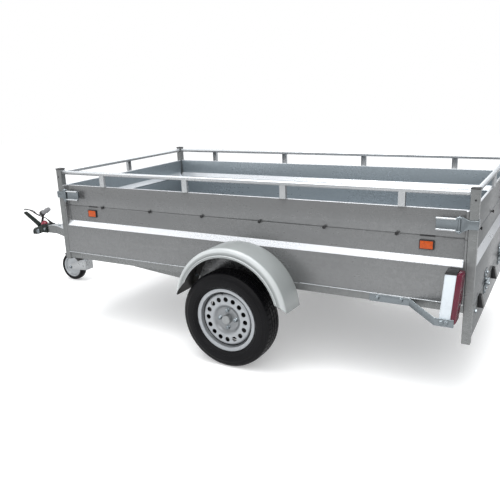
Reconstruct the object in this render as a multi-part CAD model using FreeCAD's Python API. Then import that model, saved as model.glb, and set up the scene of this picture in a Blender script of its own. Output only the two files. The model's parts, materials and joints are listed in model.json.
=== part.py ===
import FreeCAD, Part
import math
import os

# Single-axle goods trailer with a galvanised steel body, drop gates at both
# ends, a V drawbar and a jockey wheel. Millimetres. +X points to the coupling,
# +Y to the left and +Z up. The ground is at zero and the design origin lies
# under the axle; everything is moved once, at the end, so that the origin is
# at the bottom centre of the whole.

Vec = FreeCAD.Vector
X_AXIS = Vec(1, 0, 0)
Y_AXIS = Vec(0, 1, 0)
Z_AXIS = Vec(0, 0, 1)
SIDES = {"left": 1, "right": -1}
ENDS = {"rear": -1, "front": 1}

# Clearances
TOUCH_GAP = 0.3
SWING_GAP = 6.0
PIN_PLAY = 0.08
CUT_OVERRUN = 10.0
STRAIGHT_SHARE = 0.999

# Body
BOX_LENGTH = 2584.0
BOX_WIDTH = 1371.0
REAR_OVERHANG = 1248.0
POST_SIZE = 40.0
POST_WALL = 2.5
POST_CORNER_R = 4.0
POST_RISE = 21.0
FRONT_POST_DROP = 10.0
REAR_POST_DROP = 154.0
CAP_HEIGHT = 5.0
CAP_LIP = 1.5
CAP_CROWN = 1.5

# Chassis
RAIL_BOTTOM = 450.0
RAIL_HEIGHT = 38.0
RAIL_DEPTH = 34.0
RAIL_WALL = 3.0
RAIL_LIP = 3.0
CROSS_DEPTH = 45.0
CROSS_WALL = 3.0
CROSS_PITCH = 480.0
FLOOR_THICKNESS = 9.0
VALANCE_DROP = 128.0
VALANCE_WALL = 3.0
VALANCE_FLANGE = 26.0
STOP_SHARES = (-0.76, 0, 0.76)
STOP_WIDTH = 46.0
STOP_DROP = 26.0
STOP_HEIGHT = 60.0
STOP_FOOT_REACH = 28.0
STOP_TOP_REACH = 14.0

# Walls, from the rail upwards
LOWER_HEIGHT = 183.0
LEDGE_RISE = 32.0
UPPER_HEIGHT = 232.0
WALL_RECESS = 0.5
WALL_THICKNESS = 62.0
LEDGE_STEP = 26.0
RECESS_END_FLAT = 3.0
RECESS_END_SLOPE = 28.0
UPPER_THICKNESS = 14.0
TOP_BEAD_R = 4.0
GROOVE_DROP = 133.0
GROOVE_HEIGHT = 9.0
GROOVE_DEPTH = 3.0
INNER_RIB_DROP = 99.0
INNER_RIB_SLOPE = 30.0
GATE_INNER_STEP = 20.0

# Top rails
RAIL_STAND = 80.0
TUBE_R = 12.5
TUBE_WALL = 2.0
TUBE_INSET = 24.0
STANCHION_WIDTH = 34.0
STANCHION_DEPTH = 20.0
STANCHION_WALL = 2.5
STANCHION_FOOT = 3.0
STANCHION_COUNT = 4
STANCHION_REAR_INSET = 309.0
STANCHION_FRONT_INSET = 329.0

# Gate hinges and latches
HINGE_SHARE = 0.434
HINGE_WIDTH = 90.0
HINGE_KNUCKLES = 3
HINGE_PIN_R = 5.0
HINGE_BARREL_R = 9.0
HINGE_PLATE = 4.0
HINGE_STAND_OFF = 10.5
HINGE_LEAF = 58.0
GATE_FOOT_GAP = 5.5
LATCH_DROP = 25.0
LATCH_HEIGHT = 72.0
STRAP_WALL = 3.0
STRAP_HEIGHT = 41.0
STRAP_LENGTH = 78.0
YOKE_LENGTH = 30.0
YOKE_HALF_LENGTH = 11.0
LATCH_PIN_R = 5.0
LATCH_PIN_END = 5.0
LEVER_LENGTH = 104.0
LEVER_HEIGHT = 60.0
LEVER_DEPTH = 17.0
LEVER_WALL = 3.0
LATCH_CLEAR = 5.5
KEEPER_LENGTH = 30.0
KEEPER_HEIGHT = 44.0
KEEPER_CORNER_R = 6.0
KEEPER_PLACE_SHARE = 0.45

# Reflectors
REFLECTOR_LENGTH = 68.0
REFLECTOR_HEIGHT = 46.0
REFLECTOR_DEPTH = 11.0
REFLECTOR_RIM = 5.0
REFLECTOR_RISE = 56.0
REFLECTOR_REAR_INSET = 225.0
REFLECTOR_FRONT_INSET = 259.0

# Wheels
WHEEL_OUTSET = 104.5
TYRE_R = 273.5
TYRE_WIDTH = 150.0
TREAD_WIDTH = 116.0
TREAD_CROWN = 4.0
TYRE_WALL_SHARES = ((0.3, 0.955), (0.5, 1.0), (0.72, 0.975), (0.9, 0.87))
TREAD_FLAT_SHARE = 0.45
RIM_FLANGE_R = 182.0
RIM_FLANGE_HEIGHT = 17.0
RIM_WIDTH = 115.0
RIM_WALL = 4.0
RIM_WELL_DEPTH = 13.0
RIM_WELL_WIDTH = 44.0
DISC_FACE = 30.0
DISC_WALL = 5.0
DISC_EDGE_DROP = 9.0
DISC_BOWL_R = 88.0
DISC_BOWL_DEPTH = 16.0
DISC_BOWL_FLOOR_SHARE = 0.78
DISC_HOLE_R = 13.5
DISC_HOLE_RING_R = 117.0
DISC_HOLE_COUNT = 16
HUB_R = 62.0
HUB_FLANGE = 10.0
HUB_BARREL_R = 38.0
HUB_LENGTH = 70.0
HUB_CAP_R = 27.0
HUB_CAP_LENGTH = 34.0
HUB_CAP_ROUND_R = 6.75
WHEEL_BOLT_R = 9.0
WHEEL_BOLT_HEAD = 11.0
WHEEL_BOLT_RING_R = 50.0
WHEEL_BOLT_COUNT = 4
SEAM_TURN = 11.25

# Axle and trailing arms
AXLE_TUBE = 60.0
AXLE_TUBE_WALL = 4.0
AXLE_LEAD = 145.0
AXLE_DROP = 52.0
AXLE_TUBE_INSET = 55.5
ARM_THICKNESS = 28.0
ARM_BOSS_R = 34.0
ARM_TAPER_SHARE = 0.8
TORSION_CORE = 34.0
TORSION_CORE_INSET = 215.5
STUB_R = 15.0
SADDLE_REACH = 45.0
SADDLE_WALL = 6.0
SADDLE_INSET = 170.5

# Mudguards
GUARD_R = 360.0
GUARD_RISE = 33.5
GUARD_WIDTH = 186.0
GUARD_WALL = 4.0
GUARD_SHOULDER_R = 28.0
GUARD_SIDE_DROP = 46.0
GUARD_LIP_STEP = 5.0
GUARD_LIP_HEIGHT = 14.0
GUARD_INNER_FLANGE = 34.0
GUARD_END_RISE = 77.0
GUARD_CORNER = 40.0

# Tail lamps
LAMP_SETBACK = 58.0
LAMP_DEPTH = 78.0
LAMP_LENS_DEPTH = 26.0
LAMP_OUTSET = 14.5
LAMP_WIDTH = 82.0
LAMP_DROP = 26.0
LAMP_HEIGHT = 240.0
LAMP_CORNER_R = 9.0
BRACKET_WALL = 5.0
BRACKET_HEIGHT = 38.0
BRACKET_START_INSET = 488.0
BRACKET_BEND_INSET = 290.0
BRACKET_OUT_INSET = 150.0
BRACKET_END_INSET = 62.0
BRACKET_DROP = 40.0

# Drawbar
ARM_TUBE_WIDTH = 40.0
ARM_TUBE_HEIGHT = 60.0
ARM_TUBE_WALL = 3.0
DRAWBAR_REACH = 926.0
NOSE_LENGTH = 158.0
ARM_BEND_SETBACK = 466.0
ARM_BEND_INSET = 169.5
ARM_END_LEAD = 91.0
ARM_END_INSET = 45.5
GUSSET_WALL = 5.0
GUSSET_FRONT_SETBACK = 92.0
GUSSET_REAR_SETBACK = 357.0

# Coupling
BALL_R = 25.0
BALL_REACH = 128.0
BALL_DROP = 12.0
SOCKET_WALL = 9.0
SOCKET_SKIRT = 18.0
SLEEVE_LAP = 50.0
SLEEVE_REACH = 10.0
SLEEVE_DROP = 4.0
SLEEVE_WALL = 6.0
NECK_WALL = 5.0
NECK_CORNER_R = 14.0
NECK_WIDTH_SHARE = 0.92
NECK_TOP_SHARE = 0.86
COUPLING_BOLT_LEAD = 65.0
COUPLING_BOLT_RISE = 2.0
COUPLING_BOLT_R = 18.0
COUPLING_BOLT_REACH = 47.0
SLEEVE_BOLT_SETBACK = 24.0
SLEEVE_BOLT_RISE = 30.0
SLEEVE_BOLT_R = 11.0
SLEEVE_BOLT_HEAD = 8.0
DOME_R = 25.0
DOME_LEAD = 24.0
DOME_DROP = 1.0
HANDLE_PIVOT_LEAD = 83.0
HANDLE_PIVOT_DROP = 14.0
HANDLE_REACH = 155.0
HANDLE_RISE = 94.0
HANDLE_ROOT_R = 15.0
HANDLE_TIP_R = 10.0
HANDLE_WIDTH = 26.0
HANDLE_PIN_R = 5.0
CHEEK_R = 13.0
CHEEK_WALL = 4.0
CHEEK_PIN_END = 4.0

# Lamp cable with its plug, parked on a stem
CABLE_R = 4.0
GLAND_R = 8.0
GLAND_LENGTH = 24.0
GLAND_SETBACK = 36.0
GLAND_SIDE = -22.0
GLAND_SLOPE = (0.857, 0, 0.514)
GLAND_FLANGE_R = 12.0
GLAND_FLANGE = 3.0
PLUG_LEAD = 54.0
PLUG_RISE = 82.0
PLUG_SLOPE = (-0.9, 0, 0.437)
PLUG_PROFILE = (
    (0, 7.0), (5.0, 11.0), (8.0, 19.0), (74.0, 19.0), (76.0, 21.5), (86.0, 21.5),
    (88.0, 19.5), (112.0, 18.0), (115.0, 15.0),
)
CLIP_START = 10.0
CLIP_LENGTH = 24.0
CLIP_WALL = 4.0
STEM_LEAD = 54.0
STEM_LEAN = 30.0
STEM_THICKNESS = 6.0
STEM_WIDTH = 22.0
STEM_HEIGHT = 82.0
CABLE_ROUTE = (
    (46.0, -34.0, 44.0), (88.0, -37.0, 50.0), (135.0, -33.0, 61.0),
    (186.0, -33.0, 83.0), (227.2, -30.0, 101.0), (243.0, -14.2, 109.0), (243.0, 8.2, 113.0),
    (227.2, 24.0, 115.0), (191.0, 25.5, 117.0), (158.0, 20.0, 115.0), (126.0, 11.0, 107.0),
    (100.8, 3.2, 76.9),
)
CABLE_START_RUN = 32.0
CABLE_END_RUN = 24.0
ARC_SHARE = 0.45

# Jockey wheel
JOCKEY_SETBACK = 412.0
JOCKEY_TUBE_R = 24.0
JOCKEY_TUBE_WALL = 3.0
JOCKEY_TUBE_DROP = 128.0
JOCKEY_TUBE_LENGTH = 438.0
JOCKEY_INNER_R = 20.5
JOCKEY_INNER_BOTTOM = 186.0
JOCKEY_INNER_LENGTH = 330.0
JOCKEY_TRAIL = 146.0
JOCKEY_WHEEL_R = 114.0
JOCKEY_WHEEL_WIDTH = 62.0
JOCKEY_RIM_R = 74.0
JOCKEY_HUB_R = 18.0
JOCKEY_AXLE_R = 8.0
JOCKEY_TYRE_SHARES = ((0.85, 1.0), (0.95, 0.86), (1.0, 0.62))
JOCKEY_BEAD_SHARE = 0.8
JOCKEY_RIM_HUB_SHARE = 0.9
JOCKEY_RIM_EDGE_SHARE = 0.78
JOCKEY_RIM_WEB_SHARE = 0.3
JOCKEY_WEB_START_SHARE = 1.2
JOCKEY_WEB_END_SHARE = 0.86
JOCKEY_LIP_SHARE = 0.94
JOCKEY_GUARD_GAP = 7.0
JOCKEY_GUARD_WALL = 4.0
JOCKEY_GUARD_FRONT = 20.0
FORK_PLATE = 5.0
FORK_GAP = 5.0
FORK_HEIGHT = 42.0
FORK_HEAD_R = 26.0
FORK_HEAD_HEIGHT = 80.0
FORK_NECK_PLAY = 0.5
CLAMP_HEIGHT = 60.0
CLAMP_WALL = 7.0
CLAMP_PLATE = 8.0
CLAMP_SCREW_R = 6.0
CLAMP_SCREW_LENGTH = 52.0
CLAMP_BAR_R = 5.0
CLAMP_BAR_LENGTH = 62.0
CRANK_HEAD_HEIGHT = 26.0
CRANK_ARM = 78.0
CRANK_ARM_WALL = 8.0
CRANK_ARM_WIDTH = 20.0
CRANK_KNOB_R = 11.0
CRANK_KNOB_HEIGHT = 36.0

# Values worked out from the sizes above
HALF_WIDTH = BOX_WIDTH / 2
FRONT_FACE = BOX_LENGTH - REAR_OVERHANG
REAR_FACE = -REAR_OVERHANG
END_FACE = {"rear": REAR_FACE, "front": FRONT_FACE}
BAY_REAR = REAR_FACE + POST_SIZE
BAY_FRONT = FRONT_FACE - POST_SIZE
BAY_HALF_WIDTH = HALF_WIDTH - POST_SIZE
RAIL_TOP = RAIL_BOTTOM + RAIL_HEIGHT
LEDGE_BOTTOM = RAIL_TOP + LOWER_HEIGHT
LEDGE_TOP = LEDGE_BOTTOM + LEDGE_RISE
WALL_TOP = LEDGE_TOP + UPPER_HEIGHT
WALL_INNER = HALF_WIDTH - WALL_THICKNESS
PANEL_INSET = WALL_RECESS + LEDGE_STEP
GROOVE_Z = WALL_TOP - GROOVE_DROP
INNER_RIB_TOP = WALL_TOP - INNER_RIB_DROP
INNER_RIB_BOTTOM = INNER_RIB_TOP - INNER_RIB_SLOPE
TUBE_Z = WALL_TOP + RAIL_STAND
TUBE_Y = HALF_WIDTH - TUBE_INSET
POST_TOP = TUBE_Z + POST_RISE
POST_FOOT = {"rear": RAIL_BOTTOM - REAR_POST_DROP, "front": RAIL_BOTTOM - FRONT_POST_DROP}
STANCHION_FIRST_X = BAY_REAR + STANCHION_REAR_INSET
STANCHION_LAST_X = BAY_FRONT - STANCHION_FRONT_INSET
STANCHION_PITCH = (STANCHION_LAST_X - STANCHION_FIRST_X) / (STANCHION_COUNT - 1)
STOP_LOW = RAIL_BOTTOM - STOP_DROP
HINGE_Y = BAY_HALF_WIDTH * HINGE_SHARE
HINGE_Z = RAIL_TOP
LATCH_HIGH = WALL_TOP - LATCH_DROP
LATCH_LOW = LATCH_HIGH - LATCH_HEIGHT
LATCH_Z = (LATCH_HIGH + LATCH_LOW) / 2
REFLECTOR_Z = LEDGE_TOP + REFLECTOR_RISE
REFLECTOR_PLACES = (REAR_FACE + REFLECTOR_REAR_INSET, FRONT_FACE - REFLECTOR_FRONT_INSET)
WHEEL_Y = HALF_WIDTH + WHEEL_OUTSET
BEAD_R = RIM_FLANGE_R - RIM_FLANGE_HEIGHT
RIM_WELL_R = BEAD_R - RIM_WELL_DEPTH
AXLE_Z = TYRE_R
AXLE_TUBE_X = AXLE_LEAD
AXLE_TUBE_Z = RAIL_BOTTOM - AXLE_DROP
AXLE_TUBE_END = HALF_WIDTH - AXLE_TUBE_INSET
SADDLE_INNER_Y = HALF_WIDTH - SADDLE_INSET
TORSION_CORE_INNER_Y = HALF_WIDTH - TORSION_CORE_INSET
GUARD_INNER_Y = HALF_WIDTH + TOUCH_GAP
GUARD_Z = AXLE_Z + GUARD_RISE
GUARD_END_Z = GUARD_Z + GUARD_END_RISE
LAMP_REAR_X = REAR_FACE + LAMP_SETBACK
LAMP_FRONT_X = LAMP_REAR_X + LAMP_DEPTH
LAMP_INNER_Y = HALF_WIDTH + LAMP_OUTSET
LAMP_BOTTOM = RAIL_BOTTOM - LAMP_DROP
LAMP_TOP = LAMP_BOTTOM + LAMP_HEIGHT
ARM_TUBE_TOP = RAIL_BOTTOM
ARM_TUBE_BOTTOM = ARM_TUBE_TOP - ARM_TUBE_HEIGHT
NOSE_END_X = FRONT_FACE + DRAWBAR_REACH
NOSE_BEND_X = NOSE_END_X - NOSE_LENGTH
ARM_BEND_X = FRONT_FACE - ARM_BEND_SETBACK
ARM_BEND_Y = HALF_WIDTH - ARM_BEND_INSET
ARM_END_X = AXLE_TUBE_X + ARM_END_LEAD
ARM_END_Y = HALF_WIDTH - ARM_END_INSET
GUSSET_FRONT_X = NOSE_END_X - GUSSET_FRONT_SETBACK
GUSSET_REAR_X = NOSE_END_X - GUSSET_REAR_SETBACK
BALL_X = NOSE_END_X + BALL_REACH
BALL_Z = ARM_TUBE_BOTTOM - BALL_DROP
SOCKET_R = BALL_R + SOCKET_WALL
SLEEVE_START_X = NOSE_END_X - SLEEVE_LAP
SLEEVE_END_X = NOSE_END_X + SLEEVE_REACH
SLEEVE_BOTTOM = ARM_TUBE_BOTTOM - SLEEVE_DROP
SLEEVE_TOP = ARM_TUBE_TOP + TOUCH_GAP + SLEEVE_WALL
SLEEVE_HALF = ARM_TUBE_WIDTH + TOUCH_GAP + SLEEVE_WALL
DOME_X = NOSE_END_X + DOME_LEAD
DOME_Z = ARM_TUBE_TOP - DOME_DROP
HANDLE_PIVOT_X = NOSE_END_X + HANDLE_PIVOT_LEAD
HANDLE_PIVOT_Z = ARM_TUBE_TOP - HANDLE_PIVOT_DROP
HANDLE_TIP_X = HANDLE_PIVOT_X + HANDLE_REACH
HANDLE_TIP_Z = HANDLE_PIVOT_Z + HANDLE_RISE
PLUG_FACE = Vec(NOSE_END_X + PLUG_LEAD, 0, ARM_TUBE_TOP + PLUG_RISE)
JOCKEY_X = NOSE_END_X - JOCKEY_SETBACK
JOCKEY_TUBE_BOTTOM = ARM_TUBE_BOTTOM - JOCKEY_TUBE_DROP
JOCKEY_TUBE_TOP = JOCKEY_TUBE_BOTTOM + JOCKEY_TUBE_LENGTH
JOCKEY_WHEEL_X = JOCKEY_X + JOCKEY_TRAIL
FORK_TOP = JOCKEY_INNER_BOTTOM - FORK_NECK_PLAY
FORK_HEAD_BOTTOM = FORK_TOP - FORK_HEAD_HEIGHT
FORK_INNER_Y = JOCKEY_WHEEL_WIDTH / 2 + FORK_GAP
YOKE_FRONT_X = JOCKEY_WHEEL_X - JOCKEY_WHEEL_R - FORK_GAP


def box(low, high):
    """Box between two corners."""
    size = [high[i] - low[i] for i in range(len(low))]
    return Part.makeBox(size[0], size[1], size[2], Vec(*low))


def rod(radius, start, end):
    """Round bar between two points."""
    path = Vec(*end) - Vec(*start)
    return Part.makeCylinder(radius, path.Length, Vec(*start), path)


def prism(points, travel):
    """Closed outline of points moved along a vector."""
    corners = [Vec(*point) for point in points]
    face = Part.Face(Part.makePolygon(corners + [corners[0]]))
    return face.extrude(Vec(*travel))


def fuse(shapes):
    """One solid or compound made of several shapes."""
    joined = shapes[0]
    if len(shapes) > 1:
        joined = shapes[0].fuse(shapes[1:])
    return joined.removeSplitter()


def group(shapes):
    """Separate solids that share a node."""
    return Part.makeCompound(shapes)


def mirrored(shape, side):
    """The left-hand shape, or its mirror image for the right."""
    if side == "left":
        return shape
    return shape.mirror(Vec(0, 0, 0), Y_AXIS)


def round_edges(shape, radius, direction):
    """Round the straight edges that run along a direction."""
    chosen = []
    for edge in shape.Edges:
        if edge.Curve.TypeId != "Part::GeomLine":
            continue
        if abs(edge.Curve.Direction.dot(direction)) > STRAIGHT_SHARE:
            chosen.append(edge)
    return shape.makeFillet(radius, chosen)


def flat_end_x(end, inset):
    """X of a plane that lies inside the front or rear face by an inset."""
    return END_FACE[end] - ENDS[end] * inset


# Corner posts


def corner_post(end, side):
    """Square tube with rounded corners, open at its foot."""
    x_low = REAR_FACE if end == "rear" else BAY_FRONT
    low = [x_low, BAY_HALF_WIDTH, POST_FOOT[end]]
    high = [x_low + POST_SIZE, HALF_WIDTH, POST_TOP]
    tube = round_edges(box(low, high), POST_CORNER_R, Z_AXIS)
    inner_low = [low[0] + POST_WALL, low[1] + POST_WALL, low[2] - CUT_OVERRUN]
    inner_high = [high[0] - POST_WALL, high[1] - POST_WALL, high[2] + CUT_OVERRUN]
    return mirrored(tube.cut(box(inner_low, inner_high)), side)


def corner_posts():
    return group([corner_post(end, side) for end in ENDS for side in SIDES])


def post_cap(end, side):
    """Plastic cap with a low crown."""
    x_low = REAR_FACE if end == "rear" else BAY_FRONT
    low = [x_low - CAP_LIP, BAY_HALF_WIDTH - CAP_LIP, POST_TOP]
    high = [x_low + POST_SIZE + CAP_LIP, HALF_WIDTH + CAP_LIP, POST_TOP + CAP_HEIGHT]
    cap = box(low, high)
    top_edges = [e for e in cap.Edges if min(v.Z for v in e.Vertexes) > POST_TOP]
    return mirrored(cap.makeFillet(CAP_CROWN, top_edges), side)


def post_caps():
    return group([post_cap(end, side) for end in ENDS for side in SIDES])


# Chassis


def channel(length, height, depth, wall):
    """C section along +X, its back in the plane of Y zero, open towards -Y."""
    outline = [
        (0, 0, 0), (0, 0, height), (0, -depth, height), (0, -depth, height - wall),
        (0, -wall, height - wall), (0, -wall, wall), (0, -depth, wall), (0, -depth, 0),
    ]
    return prism(outline, (length, 0, 0))


def side_member(side):
    """Side rail between the posts, with the small lip that the wall stands on."""
    rail = channel(BAY_FRONT - BAY_REAR, RAIL_HEIGHT, RAIL_DEPTH, RAIL_WALL)
    rail.translate(Vec(BAY_REAR, HALF_WIDTH - RAIL_LIP, RAIL_BOTTOM))
    lip = box([BAY_REAR, HALF_WIDTH - RAIL_LIP, RAIL_TOP - RAIL_WALL], [BAY_FRONT, HALF_WIDTH, RAIL_TOP])
    return mirrored(rail.fuse(lip), side)


def cross_member(x_middle):
    """C section across the frame, between the backs of the side rails."""
    half = HALF_WIDTH - RAIL_LIP - RAIL_WALL
    beam = channel(2 * half, RAIL_HEIGHT, CROSS_DEPTH, CROSS_WALL)
    beam.rotate(Vec(0, 0, 0), Z_AXIS, 90)
    beam.translate(Vec(x_middle - CROSS_DEPTH / 2, -half, RAIL_BOTTOM))
    return beam


def end_member(end):
    """C section across the front or rear, between the posts."""
    beam = channel(2 * BAY_HALF_WIDTH, RAIL_HEIGHT, POST_SIZE, CROSS_WALL)
    beam.rotate(Vec(0, 0, 0), Z_AXIS, -ENDS[end] * 90)
    beam.translate(Vec(flat_end_x(end, WALL_RECESS), ENDS[end] * BAY_HALF_WIDTH, RAIL_BOTTOM))
    return beam


def cross_places():
    """Even places of the cross members between the two ends."""
    count = int((BAY_FRONT - BAY_REAR) / CROSS_PITCH)
    step = (BAY_FRONT - BAY_REAR) / (count + 1)
    return [BAY_REAR + step * (i + 1) for i in range(count)]


def chassis_frame():
    members = [side_member(side) for side in SIDES]
    members += [end_member(end) for end in ENDS]
    members += [cross_member(x) for x in cross_places()]
    return fuse(members)


def rear_valance():
    """Folded sheet between the rear posts, under the frame."""
    outer = flat_end_x("rear", WALL_RECESS)
    half = BAY_HALF_WIDTH - TOUCH_GAP
    low = RAIL_BOTTOM - VALANCE_DROP
    sheet = box([outer, -half, low], [outer + VALANCE_WALL, half, RAIL_BOTTOM - TOUCH_GAP])
    foot = box([outer, -half, low], [outer + VALANCE_FLANGE, half, low + VALANCE_WALL])
    return fuse([sheet, foot])


def gate_stop(middle):
    """Rubber wedge on the rear face that the dropped gate would meet."""
    face = flat_end_x("rear", WALL_RECESS - TOUCH_GAP)
    start = middle - STOP_WIDTH / 2
    outline = [
        (face, start, STOP_LOW), (face - STOP_FOOT_REACH, start, STOP_LOW),
        (face - STOP_TOP_REACH, start, STOP_LOW + STOP_HEIGHT), (face, start, STOP_LOW + STOP_HEIGHT),
    ]
    return prism(outline, (0, STOP_WIDTH, 0))


def gate_stops():
    return group([gate_stop(BAY_HALF_WIDTH * share) for share in STOP_SHARES])


def load_floor():
    """Floor sheet, inside the walls and between the gates."""
    half = WALL_INNER - TOUCH_GAP
    low = [BAY_REAR + GATE_INNER_STEP + SWING_GAP, -half, RAIL_TOP]
    high = [BAY_FRONT - GATE_INNER_STEP - SWING_GAP, half, RAIL_TOP + FLOOR_THICKNESS]
    return box(low, high)


# Walls and gates


def gate_outline(bottom):
    """Gate section as pairs of inset from the outer face and height, flat inside."""
    return [
        (WALL_RECESS, bottom), (WALL_RECESS, LEDGE_BOTTOM), (PANEL_INSET, LEDGE_TOP),
        (PANEL_INSET, GROOVE_Z - GROOVE_HEIGHT / 2), (PANEL_INSET + GROOVE_DEPTH, GROOVE_Z),
        (PANEL_INSET, GROOVE_Z + GROOVE_HEIGHT / 2), (PANEL_INSET, WALL_TOP),
        (POST_SIZE, WALL_TOP), (POST_SIZE, bottom),
    ]


def bead_edges(shape, direction):
    """The long edges along the top of a wall."""
    chosen = []
    for edge in shape.Edges:
        if min(v.Z for v in edge.Vertexes) < WALL_TOP - TOUCH_GAP:
            continue
        if abs(edge.tangentAt(edge.FirstParameter).dot(direction)) > STRAIGHT_SHARE:
            chosen.append(edge)
    return chosen


def along_side(outline, x_low, x_high):
    """Section of inset and height, drawn along the left side of the body."""
    return prism([(x_low, HALF_WIDTH - inset, z) for inset, z in outline], (x_high - x_low, 0, 0))


def wall_recess(x_low, x_high):
    """What is pressed in above the ledge: a long pocket with sloping ends."""
    outside = -CUT_OVERRUN
    above = WALL_TOP + CUT_OVERRUN
    section = [
        (outside, LEDGE_BOTTOM), (WALL_RECESS, LEDGE_BOTTOM), (PANEL_INSET, LEDGE_TOP),
        (PANEL_INSET, above), (outside, above),
    ]
    pocket = along_side(section, x_low, x_high)
    deep = HALF_WIDTH - PANEL_INSET
    face = HALF_WIDTH - WALL_RECESS
    start = x_low + RECESS_END_SLOPE
    stop = x_high - RECESS_END_SLOPE
    plan = [
        (start, deep - CUT_OVERRUN), (start, deep), (x_low, face), (x_low, HALF_WIDTH - outside),
        (x_high, HALF_WIDTH - outside), (x_high, face), (stop, deep), (stop, deep - CUT_OVERRUN),
    ]
    foot = LEDGE_BOTTOM - CUT_OVERRUN
    ends = prism([(x, y, foot) for x, y in plan], (0, 0, above + CUT_OVERRUN - foot))
    return pocket.common(ends)


def wall_groove(x_low, x_high):
    """Line pressed into the recessed panel."""
    half = GROOVE_HEIGHT / 2
    outer = PANEL_INSET - CUT_OVERRUN
    return along_side(
        [(outer, GROOVE_Z - half), (PANEL_INSET, GROOVE_Z - half), (PANEL_INSET + GROOVE_DEPTH, GROOVE_Z),
         (PANEL_INSET, GROOVE_Z + half), (outer, GROOVE_Z + half)],
        x_low, x_high,
    )


def gate_room(x_low):
    """Room at the end of a side wall, inside its post, for the gate to swing in."""
    low = [x_low, WALL_INNER - CUT_OVERRUN, RAIL_TOP - CUT_OVERRUN]
    return box(low, [x_low + SWING_GAP, BAY_HALF_WIDTH, WALL_TOP + CUT_OVERRUN])


def side_wall(side):
    """Pressed side panel between the posts, from the rail to the bead."""
    x_low = BAY_REAR + TOUCH_GAP
    x_high = BAY_FRONT - TOUCH_GAP
    upper = PANEL_INSET + UPPER_THICKNESS
    section = [
        (WALL_RECESS, RAIL_TOP), (WALL_RECESS, WALL_TOP), (upper, WALL_TOP),
        (upper, INNER_RIB_TOP), (WALL_THICKNESS, INNER_RIB_BOTTOM), (WALL_THICKNESS, RAIL_TOP),
    ]
    panel = along_side(section, x_low, x_high)
    start = x_low + RECESS_END_FLAT
    stop = x_high - RECESS_END_FLAT
    panel = panel.cut(wall_recess(start, stop))
    panel = panel.cut(wall_groove(start + RECESS_END_SLOPE, stop - RECESS_END_SLOPE))
    panel = panel.makeFillet(TOP_BEAD_R, bead_edges(panel, X_AXIS))
    for end_x in (BAY_REAR, BAY_FRONT - SWING_GAP):
        panel = panel.cut(gate_room(end_x))
    return mirrored(panel, side)


def gate_panel(end):
    """Drop gate: pressed outside like the walls, with a thicker lower half between them."""
    foot = RAIL_TOP + GATE_FOOT_GAP
    half = BAY_HALF_WIDTH - SWING_GAP
    skin = [(flat_end_x(end, inset), -half, z) for inset, z in gate_outline(foot)]
    panel = prism(skin, (0, 2 * half, 0))
    panel = panel.makeFillet(TOP_BEAD_R, bead_edges(panel, Y_AXIS))
    inner_half = WALL_INNER - SWING_GAP
    rib = [
        (POST_SIZE, foot), (POST_SIZE, INNER_RIB_TOP),
        (POST_SIZE + GATE_INNER_STEP, INNER_RIB_BOTTOM), (POST_SIZE + GATE_INNER_STEP, foot),
    ]
    inner = prism([(flat_end_x(end, inset), -inner_half, z) for inset, z in rib], (0, 2 * inner_half, 0))
    return fuse([panel, inner])


# Top rails


def stanchion():
    """Small channel bracket that stands on a wall, its web facing +Y."""
    half = STANCHION_WIDTH / 2
    height = TUBE_Z - WALL_TOP
    outline = [
        (-half, 0, 0), (half, 0, 0), (half, -STANCHION_DEPTH, 0),
        (half - STANCHION_WALL, -STANCHION_DEPTH, 0), (half - STANCHION_WALL, -STANCHION_WALL, 0),
        (STANCHION_WALL - half, -STANCHION_WALL, 0), (STANCHION_WALL - half, -STANCHION_DEPTH, 0),
        (-half, -STANCHION_DEPTH, 0),
    ]
    upright = prism(outline, (0, 0, height))
    foot = box([-half, -STANCHION_DEPTH, 0], [half, 0, STANCHION_FOOT])
    bracket = upright.fuse(foot)
    bracket.translate(Vec(0, STANCHION_DEPTH / 2, WALL_TOP))
    return bracket


def rail_tube(half_length):
    """Round tube along X, centred, at the height of the rails."""
    outer = rod(TUBE_R, (-half_length, 0, TUBE_Z), (half_length, 0, TUBE_Z))
    reach = half_length + CUT_OVERRUN
    inner = rod(TUBE_R - TUBE_WALL, (-reach, 0, TUBE_Z), (reach, 0, TUBE_Z))
    return outer, inner


def top_rail(half_length, places):
    """Tube with its stanchions, the tube's bore kept open."""
    outer, inner = rail_tube(half_length)
    pieces = [outer]
    for x in places:
        bracket = stanchion()
        bracket.translate(Vec(x, 0, 0))
        pieces.append(bracket)
    return fuse(pieces).cut(inner)


def side_rail(side):
    middle = (BAY_FRONT + BAY_REAR) / 2
    half = (BAY_FRONT - BAY_REAR) / 2 - TOUCH_GAP
    places = [STANCHION_FIRST_X + STANCHION_PITCH * i - middle for i in range(STANCHION_COUNT)]
    rail = top_rail(half, places)
    rail.translate(Vec(middle, TUBE_Y, 0))
    return mirrored(rail, side)


def gate_rail(end):
    rail = top_rail(BAY_HALF_WIDTH - SWING_GAP, [0])
    rail.rotate(Vec(0, 0, 0), Z_AXIS, -ENDS[end] * 90)
    rail.translate(Vec(flat_end_x(end, TUBE_INSET), 0, 0))
    return rail


# Gate hinges


def hinge_axis_x(end):
    return END_FACE[end] + ENDS[end] * HINGE_STAND_OFF


def barrel(end, y_low, y_high, radius):
    x = hinge_axis_x(end)
    return rod(radius, (x, y_low, HINGE_Z), (x, y_high, HINGE_Z))


def hinge_leaf(end, y_low, y_high, z_low, z_high):
    """Flat plate on the outer face beside the barrel."""
    face = flat_end_x(end, WALL_RECESS)
    outer = face + ENDS[end] * HINGE_PLATE
    return box([min(face, outer), y_low, z_low], [max(face, outer), y_high, z_high])


def barrel_web(end, y_low, y_high, z_low, z_high):
    """Short web that carries a barrel from its leaf."""
    face = flat_end_x(end, WALL_RECESS)
    reach = hinge_axis_x(end)
    return box([min(face, reach), y_low, z_low], [max(face, reach), y_high, z_high])


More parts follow.
